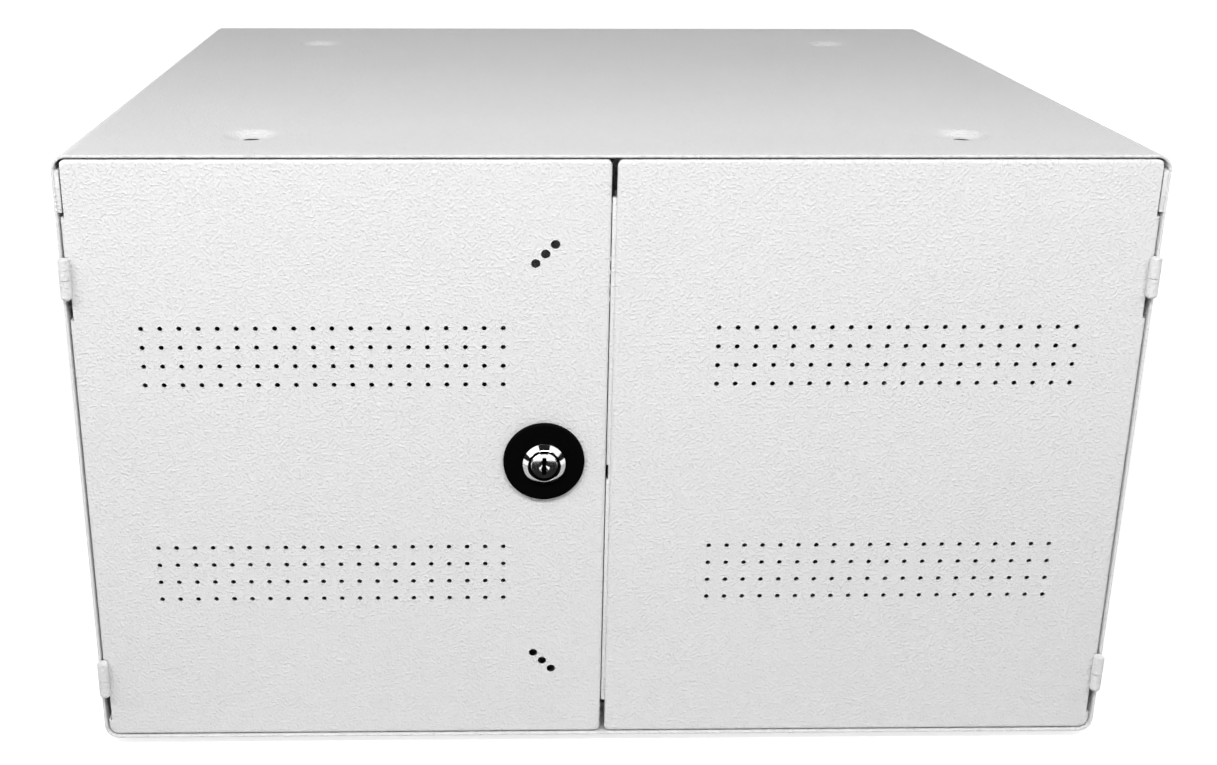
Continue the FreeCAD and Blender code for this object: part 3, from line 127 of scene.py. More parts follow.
def powder_coat():
    """White powder whose drops have run together into an orange-peel skin."""
    peel_size = 0.0015
    peel_depth = 0.0006
    peel_strength = 0.6
    drop_shares = (0.42, 0.78)
    grain_size = 0.0007
    grain_share = 0.12
    cloud_size = 0.08
    material, shader, place = new_finish("white_powder_coat")
    peel = noise(place, peel_size, detail=1.0)
    grain = noise(place, grain_size, detail=0.0)
    cloud = noise(place, cloud_size)
    drops = peel.add("ShaderNodeMapRange", {"interpolation_type": "SMOOTHSTEP"},
                     {"Value": peel, "From Min": drop_shares[0], "From Max": drop_shares[1]})
    skin = drops + grain_share * grain
    feed(shader, Base_Color=blend_colours(cloud, grey(0.8), (0.83, 0.83, 0.828)),
         Roughness=0.42 + 0.12 * grain, Specular_IOR_Level=0.25,
         Normal=bump(skin, peel_strength, peel_depth))
    return material


def arc(centre, radius, start, end, steps):
    """Points of an arc in a plane, from one angle in degrees to another."""
    angles = [math.radians(start + (end - start) * i / steps) for i in range(steps + 1)]
    return [(centre[0] + radius * math.cos(a), centre[1] + radius * math.sin(a)) for a in angles]


def turned(profile, segments):
    """A mesh turned about Z from (reach, height) points; a reach is a radius or a function of the angle."""
    weld = 1e-7
    solid = bmesh.new()
    rings = []
    for reach, height in profile:
        ring = []
        for i in range(segments):
            angle = 2 * math.pi * i / segments
            radius = reach(angle) if callable(reach) else reach
            ring.append(solid.verts.new((radius * math.cos(angle), radius * math.sin(angle), height)))
        rings.append(ring)
    for low, high in zip(rings, rings[1:]):
        for i in range(segments):
            j = (i + 1) % segments
            solid.faces.new((low[i], low[j], high[j], high[i]))
    bmesh.ops.remove_doubles(solid, verts=solid.verts, dist=weld)
    bmesh.ops.recalc_face_normals(solid, faces=solid.faces)
    return solid


def smooth(mesh, sharp_degrees):
    mesh.polygons.foreach_set("use_smooth", [True] * len(mesh.polygons))
    mesh.set_sharp_from_angle(angle=math.radians(sharp_degrees))


def new_piece(name, solid, material, sharp_degrees=40):
    """An object at the origin from a bmesh, shaded smooth but for its sharp edges."""
    mesh = bpy.data.meshes.new(name)
    solid.to_mesh(mesh)
    solid.free()
    if "custom_normal" in mesh.attributes:
        mesh.attributes.remove(mesh.attributes["custom_normal"])
    mesh.materials.append(material)
    smooth(mesh, sharp_degrees)
    piece = bpy.data.objects.new(name, mesh)
    bpy.context.scene.collection.objects.link(piece)
    return piece


def mount(piece, body, slot, *stands_for):
    """The piece moves with a body and stands for nodes, which it hides; the slot is not used."""
    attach(piece, body)
    if stands_for:
        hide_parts(*stands_for)


def dress(material, *names):
    for name in names:
        nodes[name].material_slots[0].material = material


def new_tree(name, inputs):
    """A geometry tree with points coming in, and its named inputs as sockets."""
    tree = bpy.data.node_groups.new(name, "GeometryNodeTree")
    tree.interface.new_socket("Result", in_out="OUTPUT", socket_type="NodeSocketGeometry")
    tree.interface.new_socket("Places", in_out="INPUT", socket_type="NodeSocketGeometry")
    for label, kind in inputs.items():
        tree.interface.new_socket(label, in_out="INPUT", socket_type=kind)
    entry = tree.nodes.new("NodeGroupInput")
    return tree, {socket.name: Shade(tree, socket) for socket in entry.outputs if socket.name}


def end_tree(geometry, material):
    """Realizes the instances, welds and paints the result, and sends it out of the tree."""
    weld = 1e-6
    whole = geometry.add("GeometryNodeRealizeInstances", {}, {"Geometry": geometry})
    welded = whole.add("GeometryNodeMergeByDistance", {}, {"Geometry": whole, "Distance": weld})
    painted = welded.add("GeometryNodeSetMaterial", {}, {"Geometry": welded, "Material": material})
    leave = geometry.tree.nodes.new("NodeGroupOutput")
    geometry.tree.links.new(painted.socket, leave.inputs[0])


def grown(name, tree, places, values, sharp_degrees=40):
    """The plain mesh that a tree grows from points, as an object at the origin."""
    mesh = bpy.data.meshes.new(name)
    mesh.from_pydata(places, [], [])
    piece = bpy.data.objects.new(name, mesh)
    bpy.context.scene.collection.objects.link(piece)
    modifier = piece.modifiers.new(name, "NODES")
    modifier.node_group = tree
    for socket in tree.interface.items_tree:
        if socket.in_out == "INPUT" and socket.name in values:
            modifier[socket.identifier] = values[socket.name]
    result = bpy.data.meshes.new_from_object(piece.evaluated_get(bpy.context.evaluated_depsgraph_get()))
    piece.modifiers.clear()
    piece.data = result
    result.name = name
    smooth(result, sharp_degrees)
    for helper in values.values():
        if isinstance(helper, bpy.types.Object):
            bpy.data.objects.remove(helper)
    return piece


def pressed_top_tree():
    """A plate with round openings at the places, a dish in each, and the plate's underside."""
    tree, given = new_tree("pressed_top", {
        "Dish": "NodeSocketObject", "Opening": "NodeSocketFloat", "Width": "NodeSocketFloat",
        "Depth": "NodeSocketFloat", "Height": "NodeSocketFloat", "Gauge": "NodeSocketFloat",
        "Shift": "NodeSocketVector", "Segments": "NodeSocketInt", "Paint": "NodeSocketMaterial"})
    places = given["Places"]
    rim = places.add("GeometryNodeCurvePrimitiveCircle", {},
                     {"Resolution": given["Segments"], "Radius": given["Opening"]})
    rims = places.add("GeometryNodeInstanceOnPoints", {}, {"Points": places, "Instance": rim})
    rims = places.add("GeometryNodeRealizeInstances", {}, {"Geometry": rims})
    edge = places.add("GeometryNodeCurvePrimitiveQuadrilateral", {},
                      {"Width": given["Width"], "Height": given["Depth"]})
    edge = places.add("GeometryNodeTransform", {}, {"Geometry": edge, "Translation": given["Shift"]})
    lines = places.add("GeometryNodeJoinGeometry", {}, {"Geometry": [rims, edge]})
    plate = places.add("GeometryNodeFillCurve", {}, {"Curve": lines})
    up = places.add("ShaderNodeCombineXYZ", {}, {"Z": given["Height"]})
    under = places.add("ShaderNodeCombineXYZ", {}, {"Z": given["Height"] - given["Gauge"]})
    face = places.add("GeometryNodeTransform", {}, {"Geometry": plate, "Translation": up})
    back = places.add("GeometryNodeTransform", {}, {"Geometry": plate, "Translation": under})
    back = places.add("GeometryNodeFlipFaces", {}, {"Mesh": back})
    dish = places.add("GeometryNodeObjectInfo", {}, {"Object": given["Dish"]}, "Geometry")
    dishes = places.add("GeometryNodeInstanceOnPoints", {}, {"Points": places, "Instance": dish})
    dishes = places.add("GeometryNodeTransform", {}, {"Geometry": dishes, "Translation": up})
    end_tree(places.add("GeometryNodeJoinGeometry", {}, {"Geometry": [face, back, dishes]}), given["Paint"])
    return tree


white_paint = powder_coat()
shell_low, shell_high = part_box("shell")
shell_gauge = 0.0015
shell_bend = 0.008
rim_round = 0.0005
bend_steps = 10
rim_steps = 3


def sleeve_outline(inset):
    """The sleeve's section in X and Z, inset from its outside, from the lower right corner round."""
    radius = shell_bend - inset
    right = shell_high.x - shell_bend
    top = shell_high.z - shell_bend
    foot = shell_low.z + shell_bend
    corners = (((right, foot), -90), ((right, top), 0), ((-right, top), 90), ((-right, foot), 180))
    points = []
    for centre, start in corners:
        points += arc(centre, radius, start, start + 90, bend_steps)
    return points


rim = [(rim_round - rim_round * math.cos(math.pi / 2 * i / rim_steps),
        rim_round - rim_round * math.sin(math.pi / 2 * i / rim_steps)) for i in range(rim_steps + 1)]
front_lip = [(inset, shell_low.y + y) for inset, y in rim]
front_lip += [(shell_gauge - inset, y) for inset, y in reversed(front_lip)]
back_lip = [(inset, shell_low.y + shell_high.y - y) for inset, y in reversed(front_lip)]
loops = front_lip + back_lip
sleeve = bmesh.new()
rings = [[sleeve.verts.new((x, y, z)) for x, z in sleeve_outline(inset)] for inset, y in loops]
top_run = 2 * bend_steps + 1
for number, ring in enumerate(rings):
    following = rings[(number + 1) % len(rings)]
    is_wall = number in (len(front_lip) - 1, len(loops) - 1)
    for i in range(len(ring)):
        j = (i + 1) % len(ring)
        if not (is_wall and i == top_run):
            sleeve.faces.new((ring[i], ring[j], following[j], following[i]))
bmesh.ops.recalc_face_normals(sleeve, faces=sleeve.faces)
sleeve_piece = new_piece("shell_sleeve", sleeve, white_paint)
mount(sleeve_piece, "cabinet", "white_paint", "shell")

dish_reach = 0.0165
dish_floor = 0.0062
dish_depth = 0.003
dish_hole = 0.0045
hole_edge = 0.0002
dish_steps = 12
dish_segments = 48
dish_slope = [
    (dish_reach + (dish_floor - dish_reach) * i / dish_steps,
     -dish_depth * (1 - math.cos(math.pi * i / dish_steps)) / 2) for i in range(dish_steps + 1)]
dish_back = [(radius, height - shell_gauge) for radius, height in dish_slope]
dish_profile = dish_slope + [(dish_hole, -dish_depth), (dish_hole, -dish_depth - hole_edge)] + dish_back[::-1]
recess_side_inset = 0.094
recess_front_inset = 0.054
recess_back_inset = 0.089
recess_x = shell_high.x - recess_side_inset
recess_depths = (shell_low.y + recess_front_inset, shell_high.y - recess_back_inset)
recess_places = [(x, y, 0) for x in (-recess_x, recess_x) for y in recess_depths]
top_depth = shell_high.y - shell_low.y - 2 * rim_round
top_piece = grown("shell_top", pressed_top_tree(), recess_places, {
    "Dish": new_piece("dish", turned(dish_profile, dish_segments), white_paint),
    "Opening": dish_reach, "Width": 2 * (shell_high.x - shell_bend), "Depth": top_depth,
    "Height": shell_high.z, "Gauge": shell_gauge, "Shift": (0, (shell_low.y + shell_high.y) / 2, 0),
    "Segments": dish_segments, "Paint": white_paint})
mount(top_piece, "cabinet", "white_paint", "shell")


# Two flat frames are welded inside the sleeve's mouths: the doors close against the front one, and
# the rear panel is screwed to the back one. A lug at the top of each side wall sits in a notch of
# the door, so that a closed door can't be lifted off its hinges.

def softened(node, width, material, body, slot):
    """A copy of a node's mesh with its sharp edges rounded off, which takes the node's place."""
    weld = 1e-6
    flat_angle = math.radians(1)
    sharp_angle = math.radians(40)
    solid = bmesh.new()
    solid.from_mesh(nodes[node].data)
    bmesh.ops.remove_doubles(solid, verts=solid.verts, dist=weld)
    bmesh.ops.dissolve_limit(solid, angle_limit=flat_angle, verts=solid.verts, edges=solid.edges)
    sharp = [edge for edge in solid.edges if edge.is_manifold and edge.calc_face_angle() > sharp_angle]
    bmesh.ops.bevel(solid, geom=sharp, offset=width, segments=2, profile=0.5, affect="EDGES",
                    clamp_overlap=True)
    piece = new_piece(f"{node}_finished", solid, material)
    mount(piece, body, slot, node)


sheet_edge = 0.0003
dress(white_paint, "front_frame", "rear_frame")
for side in ("left", "right"):
    softened(f"lift_stop_{side}", sheet_edge, white_paint, "cabinet", "white_paint")


# The rear panel is a laser-cut sheet with rows of air slots. Pan-head screws of zinc-plated steel,
# each with a cross recess pressed into its head, hold it to the rear frame.

def zinc_plate():
    spangle_size = 0.004
    grain_size = 0.0006
    grain_depth = 0.00005
    grain_strength = 0.15
    material, shader, place = new_finish("zinc_plate")
    spangle = noise(place, spangle_size)
    grain = noise(place, grain_size)
    feed(shader, Base_Color=blend_colours(spangle, (0.52, 0.53, 0.55), (0.68, 0.68, 0.67)), Metallic=1.0,
         Roughness=0.24 + 0.2 * grain, Normal=bump(grain, grain_strength, grain_depth))
    return material


def slot_reach(width, height):
    """How far a slot reaches from its middle, as a function of the angle."""
    least = 1e-6

    def reach(angle):
        along = max(abs(math.cos(angle)), least)
        across = max(abs(math.sin(angle)), least)
        return min(width / 2 / along, height / 2 / across)
    return reach


def cross_reach(arm, bar):
    """How far a plus-shaped recess reaches: two crossed slots, from an arm's length and half its width."""
    level = slot_reach(2 * arm, 2 * bar)
    upright = slot_reach(2 * bar, 2 * arm)

    def reach(angle):
        return max(level(angle), upright(angle))
    return reach


def pan_head(radius, height, shank):
    """A screw with its head on top of the XY plane and its shank below."""
    segments = 40
    dome_degrees = 56
    dome_steps = 6
    brow_share = 0.35
    thread_share = 0.5
    tip_share = 0.1
    arm_share = 0.5
    bar_share = 0.11
    taper_shares = (0.7, 0.6)
    recess_shares = (0.3, 0.25)
    brow = brow_share * height
    dome = arc((0, 0), 1, 0, dome_degrees, dome_steps)
    dome = [(radius * across, brow + (height - brow) * up) for across, up in dome]
    crown = dome[-1][1]
    thread = thread_share * radius
    tip = tip_share * radius
    arm = arm_share * radius
    bar = bar_share * radius
    profile = [(0, -shank), (thread - tip, -shank), (thread, tip - shank), (thread, 0), (radius, 0)] + dome
    profile += [(cross_reach(arm, bar), crown),
                (cross_reach(taper_shares[0] * arm, taper_shares[1] * bar), recess_shares[0] * height),
                (0, recess_shares[1] * height)]
    return turned(profile, segments)


def copies_tree(name):
    """One object at every place, turned by the given angles."""
    tree, given = new_tree(name, {"Shape": "NodeSocketObject", "Turn": "NodeSocketRotation",
                                  "Paint": "NodeSocketMaterial"})
    places = given["Places"]
    shape = places.add("GeometryNodeObjectInfo", {}, {"Object": given["Shape"]}, "Geometry")
    end_tree(places.add("GeometryNodeInstanceOnPoints", {},
                        {"Points": places, "Instance": shape, "Rotation": given["Turn"]}), given["Paint"])
    return tree


zinc = zinc_plate()
copies = copies_tree("copies")
facing_back = (-math.pi / 2, 0, 0)
facing_front = (math.pi / 2, 0, 0)
dress(white_paint, "rear_panel")
screws_low, screws_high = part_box("rear_panel_screws")
head_radius = 0.004
head_height = 0.0022
head_seat = screws_high.y - head_height
side_x = screws_high.x - head_radius
side_inset = 0.0335
side_heights = (shell_low.z + side_inset, shell_high.z - side_inset)
edge_x = (shell_high.x - shell_gauge) / 2
edge_heights = (screws_low.z + head_radius, screws_high.z - head_radius)
rear_places = [(x, head_seat, z) for x in (-side_x, side_x) for z in side_heights]
rear_places += [(x, head_seat, z) for x in (-edge_x, edge_x) for z in edge_heights]
rear_screws = grown("rear_screws", copies, rear_places, {
    "Shape": new_piece("pan_screw", pan_head(head_radius, head_height, head_seat - screws_low.y), zinc),
    "Turn": facing_back, "Paint": zinc})
mount(rear_screws, "cabinet", "zinc_steel", "rear_panel_screws")


# Four moulded rubber pucks carry the cabinet. A screw goes up through each of them into a nut on
# the inside of the floor.

def foot_rubber():
    dust_size = 0.006
    grain_size = 0.0005
    grain_depth = 0.0001
    grain_strength = 0.3
    material, shader, place = new_finish("foot_rubber")
    dust = noise(place, dust_size)
    grain = noise(place, grain_size)
    feed(shader, Base_Color=blend_colours(dust, grey(0.018), (0.04, 0.039, 0.038)),
         Roughness=0.66 + 0.2 * grain, Normal=bump(grain, grain_strength, grain_depth))
    return material


rubber = foot_rubber()
feet_low, feet_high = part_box("rubber_feet")
foot_radius = feet_high.x - recess_x
foot_height = feet_high.z - feet_low.z
foot_round = 0.0015
foot_steps = 5
foot_segments = 40
foot_draft = 0.0008
foot_bore = 0.00275
sink_radius = 0.0055
sink_depth = 0.0035
foot_profile = [(sink_radius, sink_depth), (sink_radius, foot_round / 2), (sink_radius + foot_round / 2, 0)]
foot_profile += arc((foot_radius - foot_draft - foot_round, foot_round), foot_round, -90, 0, foot_steps)
foot_profile += [(foot_radius, foot_height), (foot_bore, foot_height), (foot_bore, sink_depth),
                 (sink_radius, sink_depth)]
feet = grown("moulded_feet", copies, recess_places, {
    "Shape": new_piece("foot", turned(foot_profile, foot_segments), rubber), "Turn": (0, 0, 0),
    "Paint": rubber})
mount(feet, "cabinet", "foot_rubber", "rubber_feet")
dress(zinc, "foot_screws", "foot_nuts")


# Lift-off hinges: a knuckle with a ground steel pin is welded to the side wall, and a knuckle on
# the door drops over the pin. The knuckles are painted with the cabinet.

def bright_steel():
    ring_size = 0.0003
    ring_depth = 0.00003
    ring_strength = 0.2
    squeeze_shares = (0.05, 0.05, 1)
    material, shader, place = new_finish("bright_steel")
    around = place.add("ShaderNodeMapping", {}, {"Vector": place, "Scale": squeeze_shares})
    rings_cut = noise(around, ring_size)
    feed(shader, Base_Color=blend_colours(rings_cut, (0.6, 0.6, 0.61), grey(0.74)), Metallic=1.0,
         Roughness=0.16 + 0.18 * rings_cut, Normal=bump(rings_cut, ring_strength, ring_depth))
    return material


steel = bright_steel()
for side in ("left", "right"):
    for level in ("upper", "lower"):
        dress(white_paint, f"hinge_base_{side}_{level}", f"hinge_knuckle_{side}_{level}")
        dress(steel, f"hinge_pin_{side}_{level}")


# The device bay: folded rails on the floor hold the tabs of nine upright dividers, and a partition
# with a notch for every lead keeps the chargers at the back. All of it is cut from painted sheet.

divider_count = 9
painted_sheets = ["front_floor_rail", "rear_floor_rail", "charger_partition"]
painted_sheets += [f"divider_{number + 1}" for number in range(divider_count)]
for node in painted_sheets:
    softened(node, sheet_edge, white_paint, "cabinet", "white_paint")


# The power strip is a length of anodised aluminium box section with moulded end caps. Brackets and
# screws fix it to the rear panel. Outlets, a rocker switch, a reset button and the inlet are plastic.

def anodised():
    line_size = 0.0006
    line_depth = 0.00004
    line_strength = 0.12
    squeeze_shares = (0.004, 1, 1)
    material, shader, place = new_finish("anodised_aluminium")
    along = place.add("ShaderNodeMapping", {}, {"Vector": place, "Scale": squeeze_shares})
    lines = noise(along, line_size)
    feed(shader, Base_Color=blend_colours(lines, (0.58, 0.59, 0.6), (0.7, 0.7, 0.71)), Metallic=1.0,
         Roughness=0.3 + 0.18 * lines, Normal=bump(lines, line_strength, line_depth))
    return material


def moulded_plastic(name, low, high, gloss, grain_depth):
    """Moulded plastic from a low to a high colour; gloss runs from 0, matt, to 1, polished."""
    grain_size = 0.0004
    grain_strength = 0.35
    cloud_size = 0.01
    material, shader, place = new_finish(name)
    grain = noise(place, grain_size)
    cloud = noise(place, cloud_size)
    feed(shader, Base_Color=blend_colours(cloud, low, high), Roughness=0.62 - 0.45 * gloss + 0.12 * grain,
         Specular_IOR_Level=0.03 + 0.45 * gloss, Normal=bump(grain, grain_strength, grain_depth))
    return material


moulding_edge = 0.0003
satin_gloss = 0.2
satin_grain = 0.00006
high_gloss = 0.8
fine_grain = 0.00002
aluminium = anodised()
black_plastic = moulded_plastic("black_plastic", grey(0.012), grey(0.02), satin_gloss, satin_grain)
switch_plastic = moulded_plastic("switch_plastic", grey(0.015), grey(0.03), high_gloss, fine_grain)
button_plastic = moulded_plastic("button_plastic", (0.42, 0.02, 0.015), (0.55, 0.035, 0.025),
                                 high_gloss, fine_grain)
softened("power_strip_housing", moulding_edge, aluminium, "cabinet", "anodised_aluminium")
for part in ("power_strip_end_caps", "power_strip_outlets", "switch_frame"):
    softened(part, moulding_edge, black_plastic, "cabinet", "black_plastic")
softened("switch_rocker", moulding_edge, switch_plastic, "rocker", "switch_plastic")
dress(black_plastic, "button_collar", "mains_inlet")
dress(button_plastic, "reset_button")
dress(steel, "inlet_blades")
dress(zinc, "power_strip_brackets", "power_strip_screws", "inlet_screws")


# The doors are folded steel trays with the same white powder. Each face has two fields of punched
# air holes, and the left one two slanted rows of three. The powder runs together round the rim of
# every hole and leaves a thin raised bead.

def hole_fields_tree():
    """A bead at every hole of a field; each place is the middle of one field."""
    tree, given = new_tree("hole_fields", {
        "Bead": "NodeSocketObject", "Columns": "NodeSocketInt", "Rows": "NodeSocketInt",
        "Width": "NodeSocketFloat", "Height": "NodeSocketFloat", "Turn": "NodeSocketRotation",
        "Paint": "NodeSocketMaterial"})
    places = given["Places"]
    field = places.add("GeometryNodeMeshGrid", {}, {
        "Size X": given["Width"], "Size Y": given["Height"],
        "Vertices X": given["Columns"], "Vertices Y": given["Rows"]})
    bead = places.add("GeometryNodeObjectInfo", {}, {"Object": given["Bead"]}, "Geometry")
    beads = places.add("GeometryNodeInstanceOnPoints", {}, {"Points": field, "Instance": bead})
    fields = places.add("GeometryNodeInstanceOnPoints", {},
                        {"Points": places, "Instance": beads, "Rotation": given["Turn"]})
    end_tree(fields, given["Paint"])
    return tree


def paint_bead(radius, segments):
    """The bead round a hole's rim, in the XY plane and rising along Z."""
    outline = ((0, -0.0004), (-0.00008, -0.0001), (0.00006, 0.00012), (0.0003, 0.00014), (0.0006, -0.00002))
    return turned([(radius + outward, height) for outward, height in outline], segments)


dress(white_paint, "left_door_panel", "right_door_panel")
softened("closing_strip", sheet_edge, white_paint, "right_door", "white_paint")
door_low, door_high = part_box("left_door_panel")
door_face = door_low.y
lock_low, lock_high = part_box("lock_escutcheon")
lock_x = (lock_low.x + lock_high.x) / 2
lock_z = (lock_low.z + lock_high.z) / 2
feature_drop = 0.0015
feature_z = (door_low.z + door_high.z) / 2 - feature_drop
field_columns = 20
field_rows = 4
field_pitch = (0.010, 0.0105)
field_inner = 0.057
field_rise = 0.0635
vent_radius = 0.0014
vent_segments = 16
field_width = field_pitch[0] * (field_columns - 1)
field_height = field_pitch[1] * (field_rows - 1)
field_middle = field_inner + field_width / 2
hole_fields = hole_fields_tree()
for side, way in (("left", -1), ("right", 1)):
    middles = [(way * field_middle, door_face, feature_z + rise) for rise in (-field_rise, field_rise)]
    beads = grown(f"{side}_door_hole_beads", hole_fields, middles, {
        "Bead": new_piece("vent_bead", paint_bead(vent_radius, vent_segments), white_paint),
        "Columns": field_columns, "Rows": field_rows, "Width": field_width, "Height": field_height,
        "Turn": facing_front, "Paint": white_paint})
    mount(beads, f"{side}_door", "white_paint")

row_rise = 0.1195
row_step = 0.0051
row_hole_radius = 0.0025
row_hole_segments = 28
row_places = [(lock_x + row_step * k, door_face, feature_z + way * (row_rise + row_step * k))
              for way in (-1, 1) for k in (-1, 0, 1)]
row_beads = grown("left_door_row_beads", copies, row_places, {
    "Shape": new_piece("row_bead", paint_bead(row_hole_radius, row_hole_segments), white_paint),
    "Turn": facing_front, "Paint": white_paint})
mount(row_beads, "left_door", "white_paint")


# The cam lock: a chromed die-cast housing with a conical bezel goes through a black moulded escutcheon
# and the door, and a hex nut behind the door clamps it. Its plug turns and carries a steel cam.

def chrome_plate(groove_inside, groove_outside, key_floor):
    """Chrome, with painted shade: near black and not metallic in the groove round the plug and behind the
    keyway's mouth.
    """
    smudge_size = 0.003
    scratch_size = 0.0002
    scratch_depth = 0.00003
    scratch_strength = 0.04
    material, shader, place = new_finish("chrome_plate")
    smudge = noise(place, smudge_size)
    scratch = noise(place, scratch_size)
    from_axis = place.add("ShaderNodeMapping", {}, {
        "Vector": place, "Location": (-lock_x, 0, -lock_z), "Scale": (1, 0, 1)})
    radius = place.add("ShaderNodeVectorMath", {"operation": "LENGTH"}, {0: from_axis}, "Value")
    depth = place.add("ShaderNodeSeparateXYZ", {}, {"Vector": place}, "Y") - key_floor
    # Painted shade: the groove round the plug and the keyway behind its mouth get a near-black, non-metal
    # colour in place of their shadow.
    past_plug = radius.math("GREATER_THAN", radius, groove_inside)
    groove_shade = past_plug * radius.math("LESS_THAN", radius, groove_outside)
    keyway_shade = depth.math("GREATER_THAN", depth, 0) * radius.math("LESS_THAN", radius, groove_inside)
    plated = (1 - groove_shade) * (1 - keyway_shade)
    shine = plated * (0.85 + 0.15 * smudge)
    feed(shader, Base_Color=blend_colours(shine, grey(0.004), grey(0.8)), Metallic=plated,
         Roughness=0.05 + 0.08 * smudge, Specular_IOR_Level=0.1,
         Normal=bump(scratch, scratch_strength, scratch_depth))
    return material


def set_on_lock(solid, seat):
    """Turns a piece made along Z to face the front, and seats it on the lock's axis at a depth."""
    to_lock = Matrix.Translation((lock_x, seat, lock_z)) @ Matrix.Rotation(math.pi / 2, 4, "X")
    bmesh.ops.transform(solid, matrix=to_lock, verts=solid.verts)
    return solid


matt_gloss = 0.0
matt_grain = 0.00005
matt_black = moulded_plastic("matt_black", grey(0.001), grey(0.002), matt_gloss, matt_grain)
lock_segments = 96
plate_radius = (lock_high.x - lock_low.x) / 2
plate_height = lock_high.y - lock_low.y
plate_round = 0.0009
plate_steps = 5
plate_hole = 0.0097
plate_profile = [(plate_hole, 0), (plate_radius, 0)]
plate_corner = (plate_radius - plate_round, plate_height - plate_round)
plate_profile += arc(plate_corner, plate_round, 0, 90, plate_steps)
plate_profile += [(plate_hole + plate_round, plate_height), (plate_hole, plate_height - plate_round / 2),
                  (plate_hole, 0)]
plate_solid = set_on_lock(turned(plate_profile, lock_segments), lock_high.y)
escutcheon = new_piece("escutcheon", plate_solid, matt_black)
mount(escutcheon, "left_door", "black_plastic", "lock_escutcheon")

housing_low, housing_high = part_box("lock_housing")
plug_low, plug_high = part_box("lock_plug")
plug_radius = (plug_high.x - plug_low.x) / 2
plug_length = plug_high.y - plug_low.y
plug_gap = 0.00005
key_mouth_depth = 0.0014
collar_radius = (housing_high.x - housing_low.x) / 2
collar_edge = 0.00015
slope = 0.00275
bezel_length = lock_low.y - housing_low.y
bezel_sharp_degrees = 10
groove_radius = 0.0087
groove_depth = 0.0025
barrel_radius = 0.0095
barrel_length = housing_high.y - lock_low.y
bore_radius = plug_radius + plug_gap
cone_foot = bezel_length - slope
cone_radius = collar_radius - slope
bezel_profile = [(bore_radius, -barrel_length), (barrel_radius, -barrel_length), (barrel_radius, 0)]
bezel_profile += [(collar_radius, 0), (collar_radius, cone_foot - collar_edge),
                  (collar_radius - collar_edge, cone_foot + collar_edge),
                  (cone_radius + collar_edge, bezel_length - collar_edge),
                  (cone_radius - collar_edge / 2, bezel_length)]
bezel_profile += [(groove_radius, bezel_length - collar_edge), (groove_radius, bezel_length - groove_depth),
                  (bore_radius, bezel_length - groove_depth), (bore_radius, -barrel_length)]
chrome = chrome_plate(plug_radius + plug_gap / 2, groove_radius + plug_gap / 2, plug_low.y + key_mouth_depth)
bezel_solid = set_on_lock(turned(bezel_profile, lock_segments), lock_low.y)
housing = new_piece("lock_bezel", bezel_solid, chrome, bezel_sharp_degrees)
mount(housing, "left_door", "chrome", "lock_housing")


def funnel_reach(width, height, slot):
    """The lens-shaped mouth of the keyway, as a function of the angle, and no smaller than the slot."""
    sagitta = width / 2
    swing = (sagitta * sagitta + height * height / 4) / (2 * sagitta)
    shift = swing - sagitta

    def reach(angle):
        across = abs(math.cos(angle))
        lens = math.sqrt(swing * swing - (shift * math.sin(angle)) ** 2) - shift * across
        return max(lens, slot(angle))
    return reach


plug_rim = 0.0005
plug_crown = 0.00025
plug_segments = 120
plug_sharp_degrees = 25
brow_reach_share = 0.75
brow_fall_share = 0.4
key_width = 0.0021
key_height = 0.0098
key_depth = 0.010
mouth_width = 0.0058
mouth_height = 0.0084
key_slot = slot_reach(key_width, key_height)
key_mouth = funnel_reach(mouth_width, mouth_height, key_slot)
plug_profile = [(0, 0), (plug_radius, 0), (plug_radius, plug_length - plug_rim - plug_crown),
                (plug_radius - plug_rim, plug_length - plug_crown),
                (brow_reach_share * plug_radius, plug_length - brow_fall_share * plug_crown)]
plug_profile += [(key_mouth, plug_length), (key_slot, plug_length - key_mouth_depth),
                 (key_slot, plug_length - key_depth), (0, plug_length - key_depth)]
plug_solid = set_on_lock(turned(plug_profile, plug_segments), plug_high.y)
plug = new_piece("lock_plug_turned", plug_solid, chrome, plug_sharp_degrees)
mount(plug, "lock_core", "chrome", "lock_plug")
dress(zinc, "lock_nut", "lock_cam", "cam_screw")


# Two slide bolts of zinc-plated rod on the right door run in guide blocks welded to its flange.
# They shoot behind the front frame at the top and the bottom.

for level in ("top", "bottom"):
    softened(f"{level}_bolt_guide", sheet_edge, zinc, "right_door", "zinc_steel")
    dress(zinc, f"{level}_bolt")


# The studio: a pale floor that shows as white, a long lamp over the camera, and lamps at the sides and
# behind. A dark cloth in front and a dark card on the floor are there for the chrome to mirror, and the
# camera doesn't see them. It stands where the photographer stood.

def camera_sees(tree):
    """1 for rays that show the background: from the camera, in a reflection or through glass."""
    path = tree.nodes.new("ShaderNodeLightPath")
    seen = Shade(tree, path.outputs["Is Camera Ray"])
    for name in ("Is Glossy Ray", "Is Transmission Ray"):
        seen = seen.math("MAXIMUM", seen, Shade(tree, path.outputs[name]))
    return seen


room_light = 0.05
world = bpy.data.worlds.new("studio_room")
world.use_nodes = True
bpy.context.scene.world = world
room = world.node_tree
room_colour = blend_colours(camera_sees(room), grey(room_light), grey(1))
room.links.new(room_colour.socket, room.nodes["Background"].inputs["Color"])


def stage_piece(name, solid, material):
    """A piece of the studio from a bmesh."""
    piece = new_piece(name, solid, material)
    return piece


def sheet(low, high, height):
    """A level rectangle as a bmesh, from its lowest corner to its highest."""
    flat = bmesh.new()
    corners = ((low[0], low[1]), (high[0], low[1]), (high[0], high[1]), (low[0], high[1]))
    flat.faces.new([flat.verts.new((x, y, height)) for x, y in corners])
    return flat


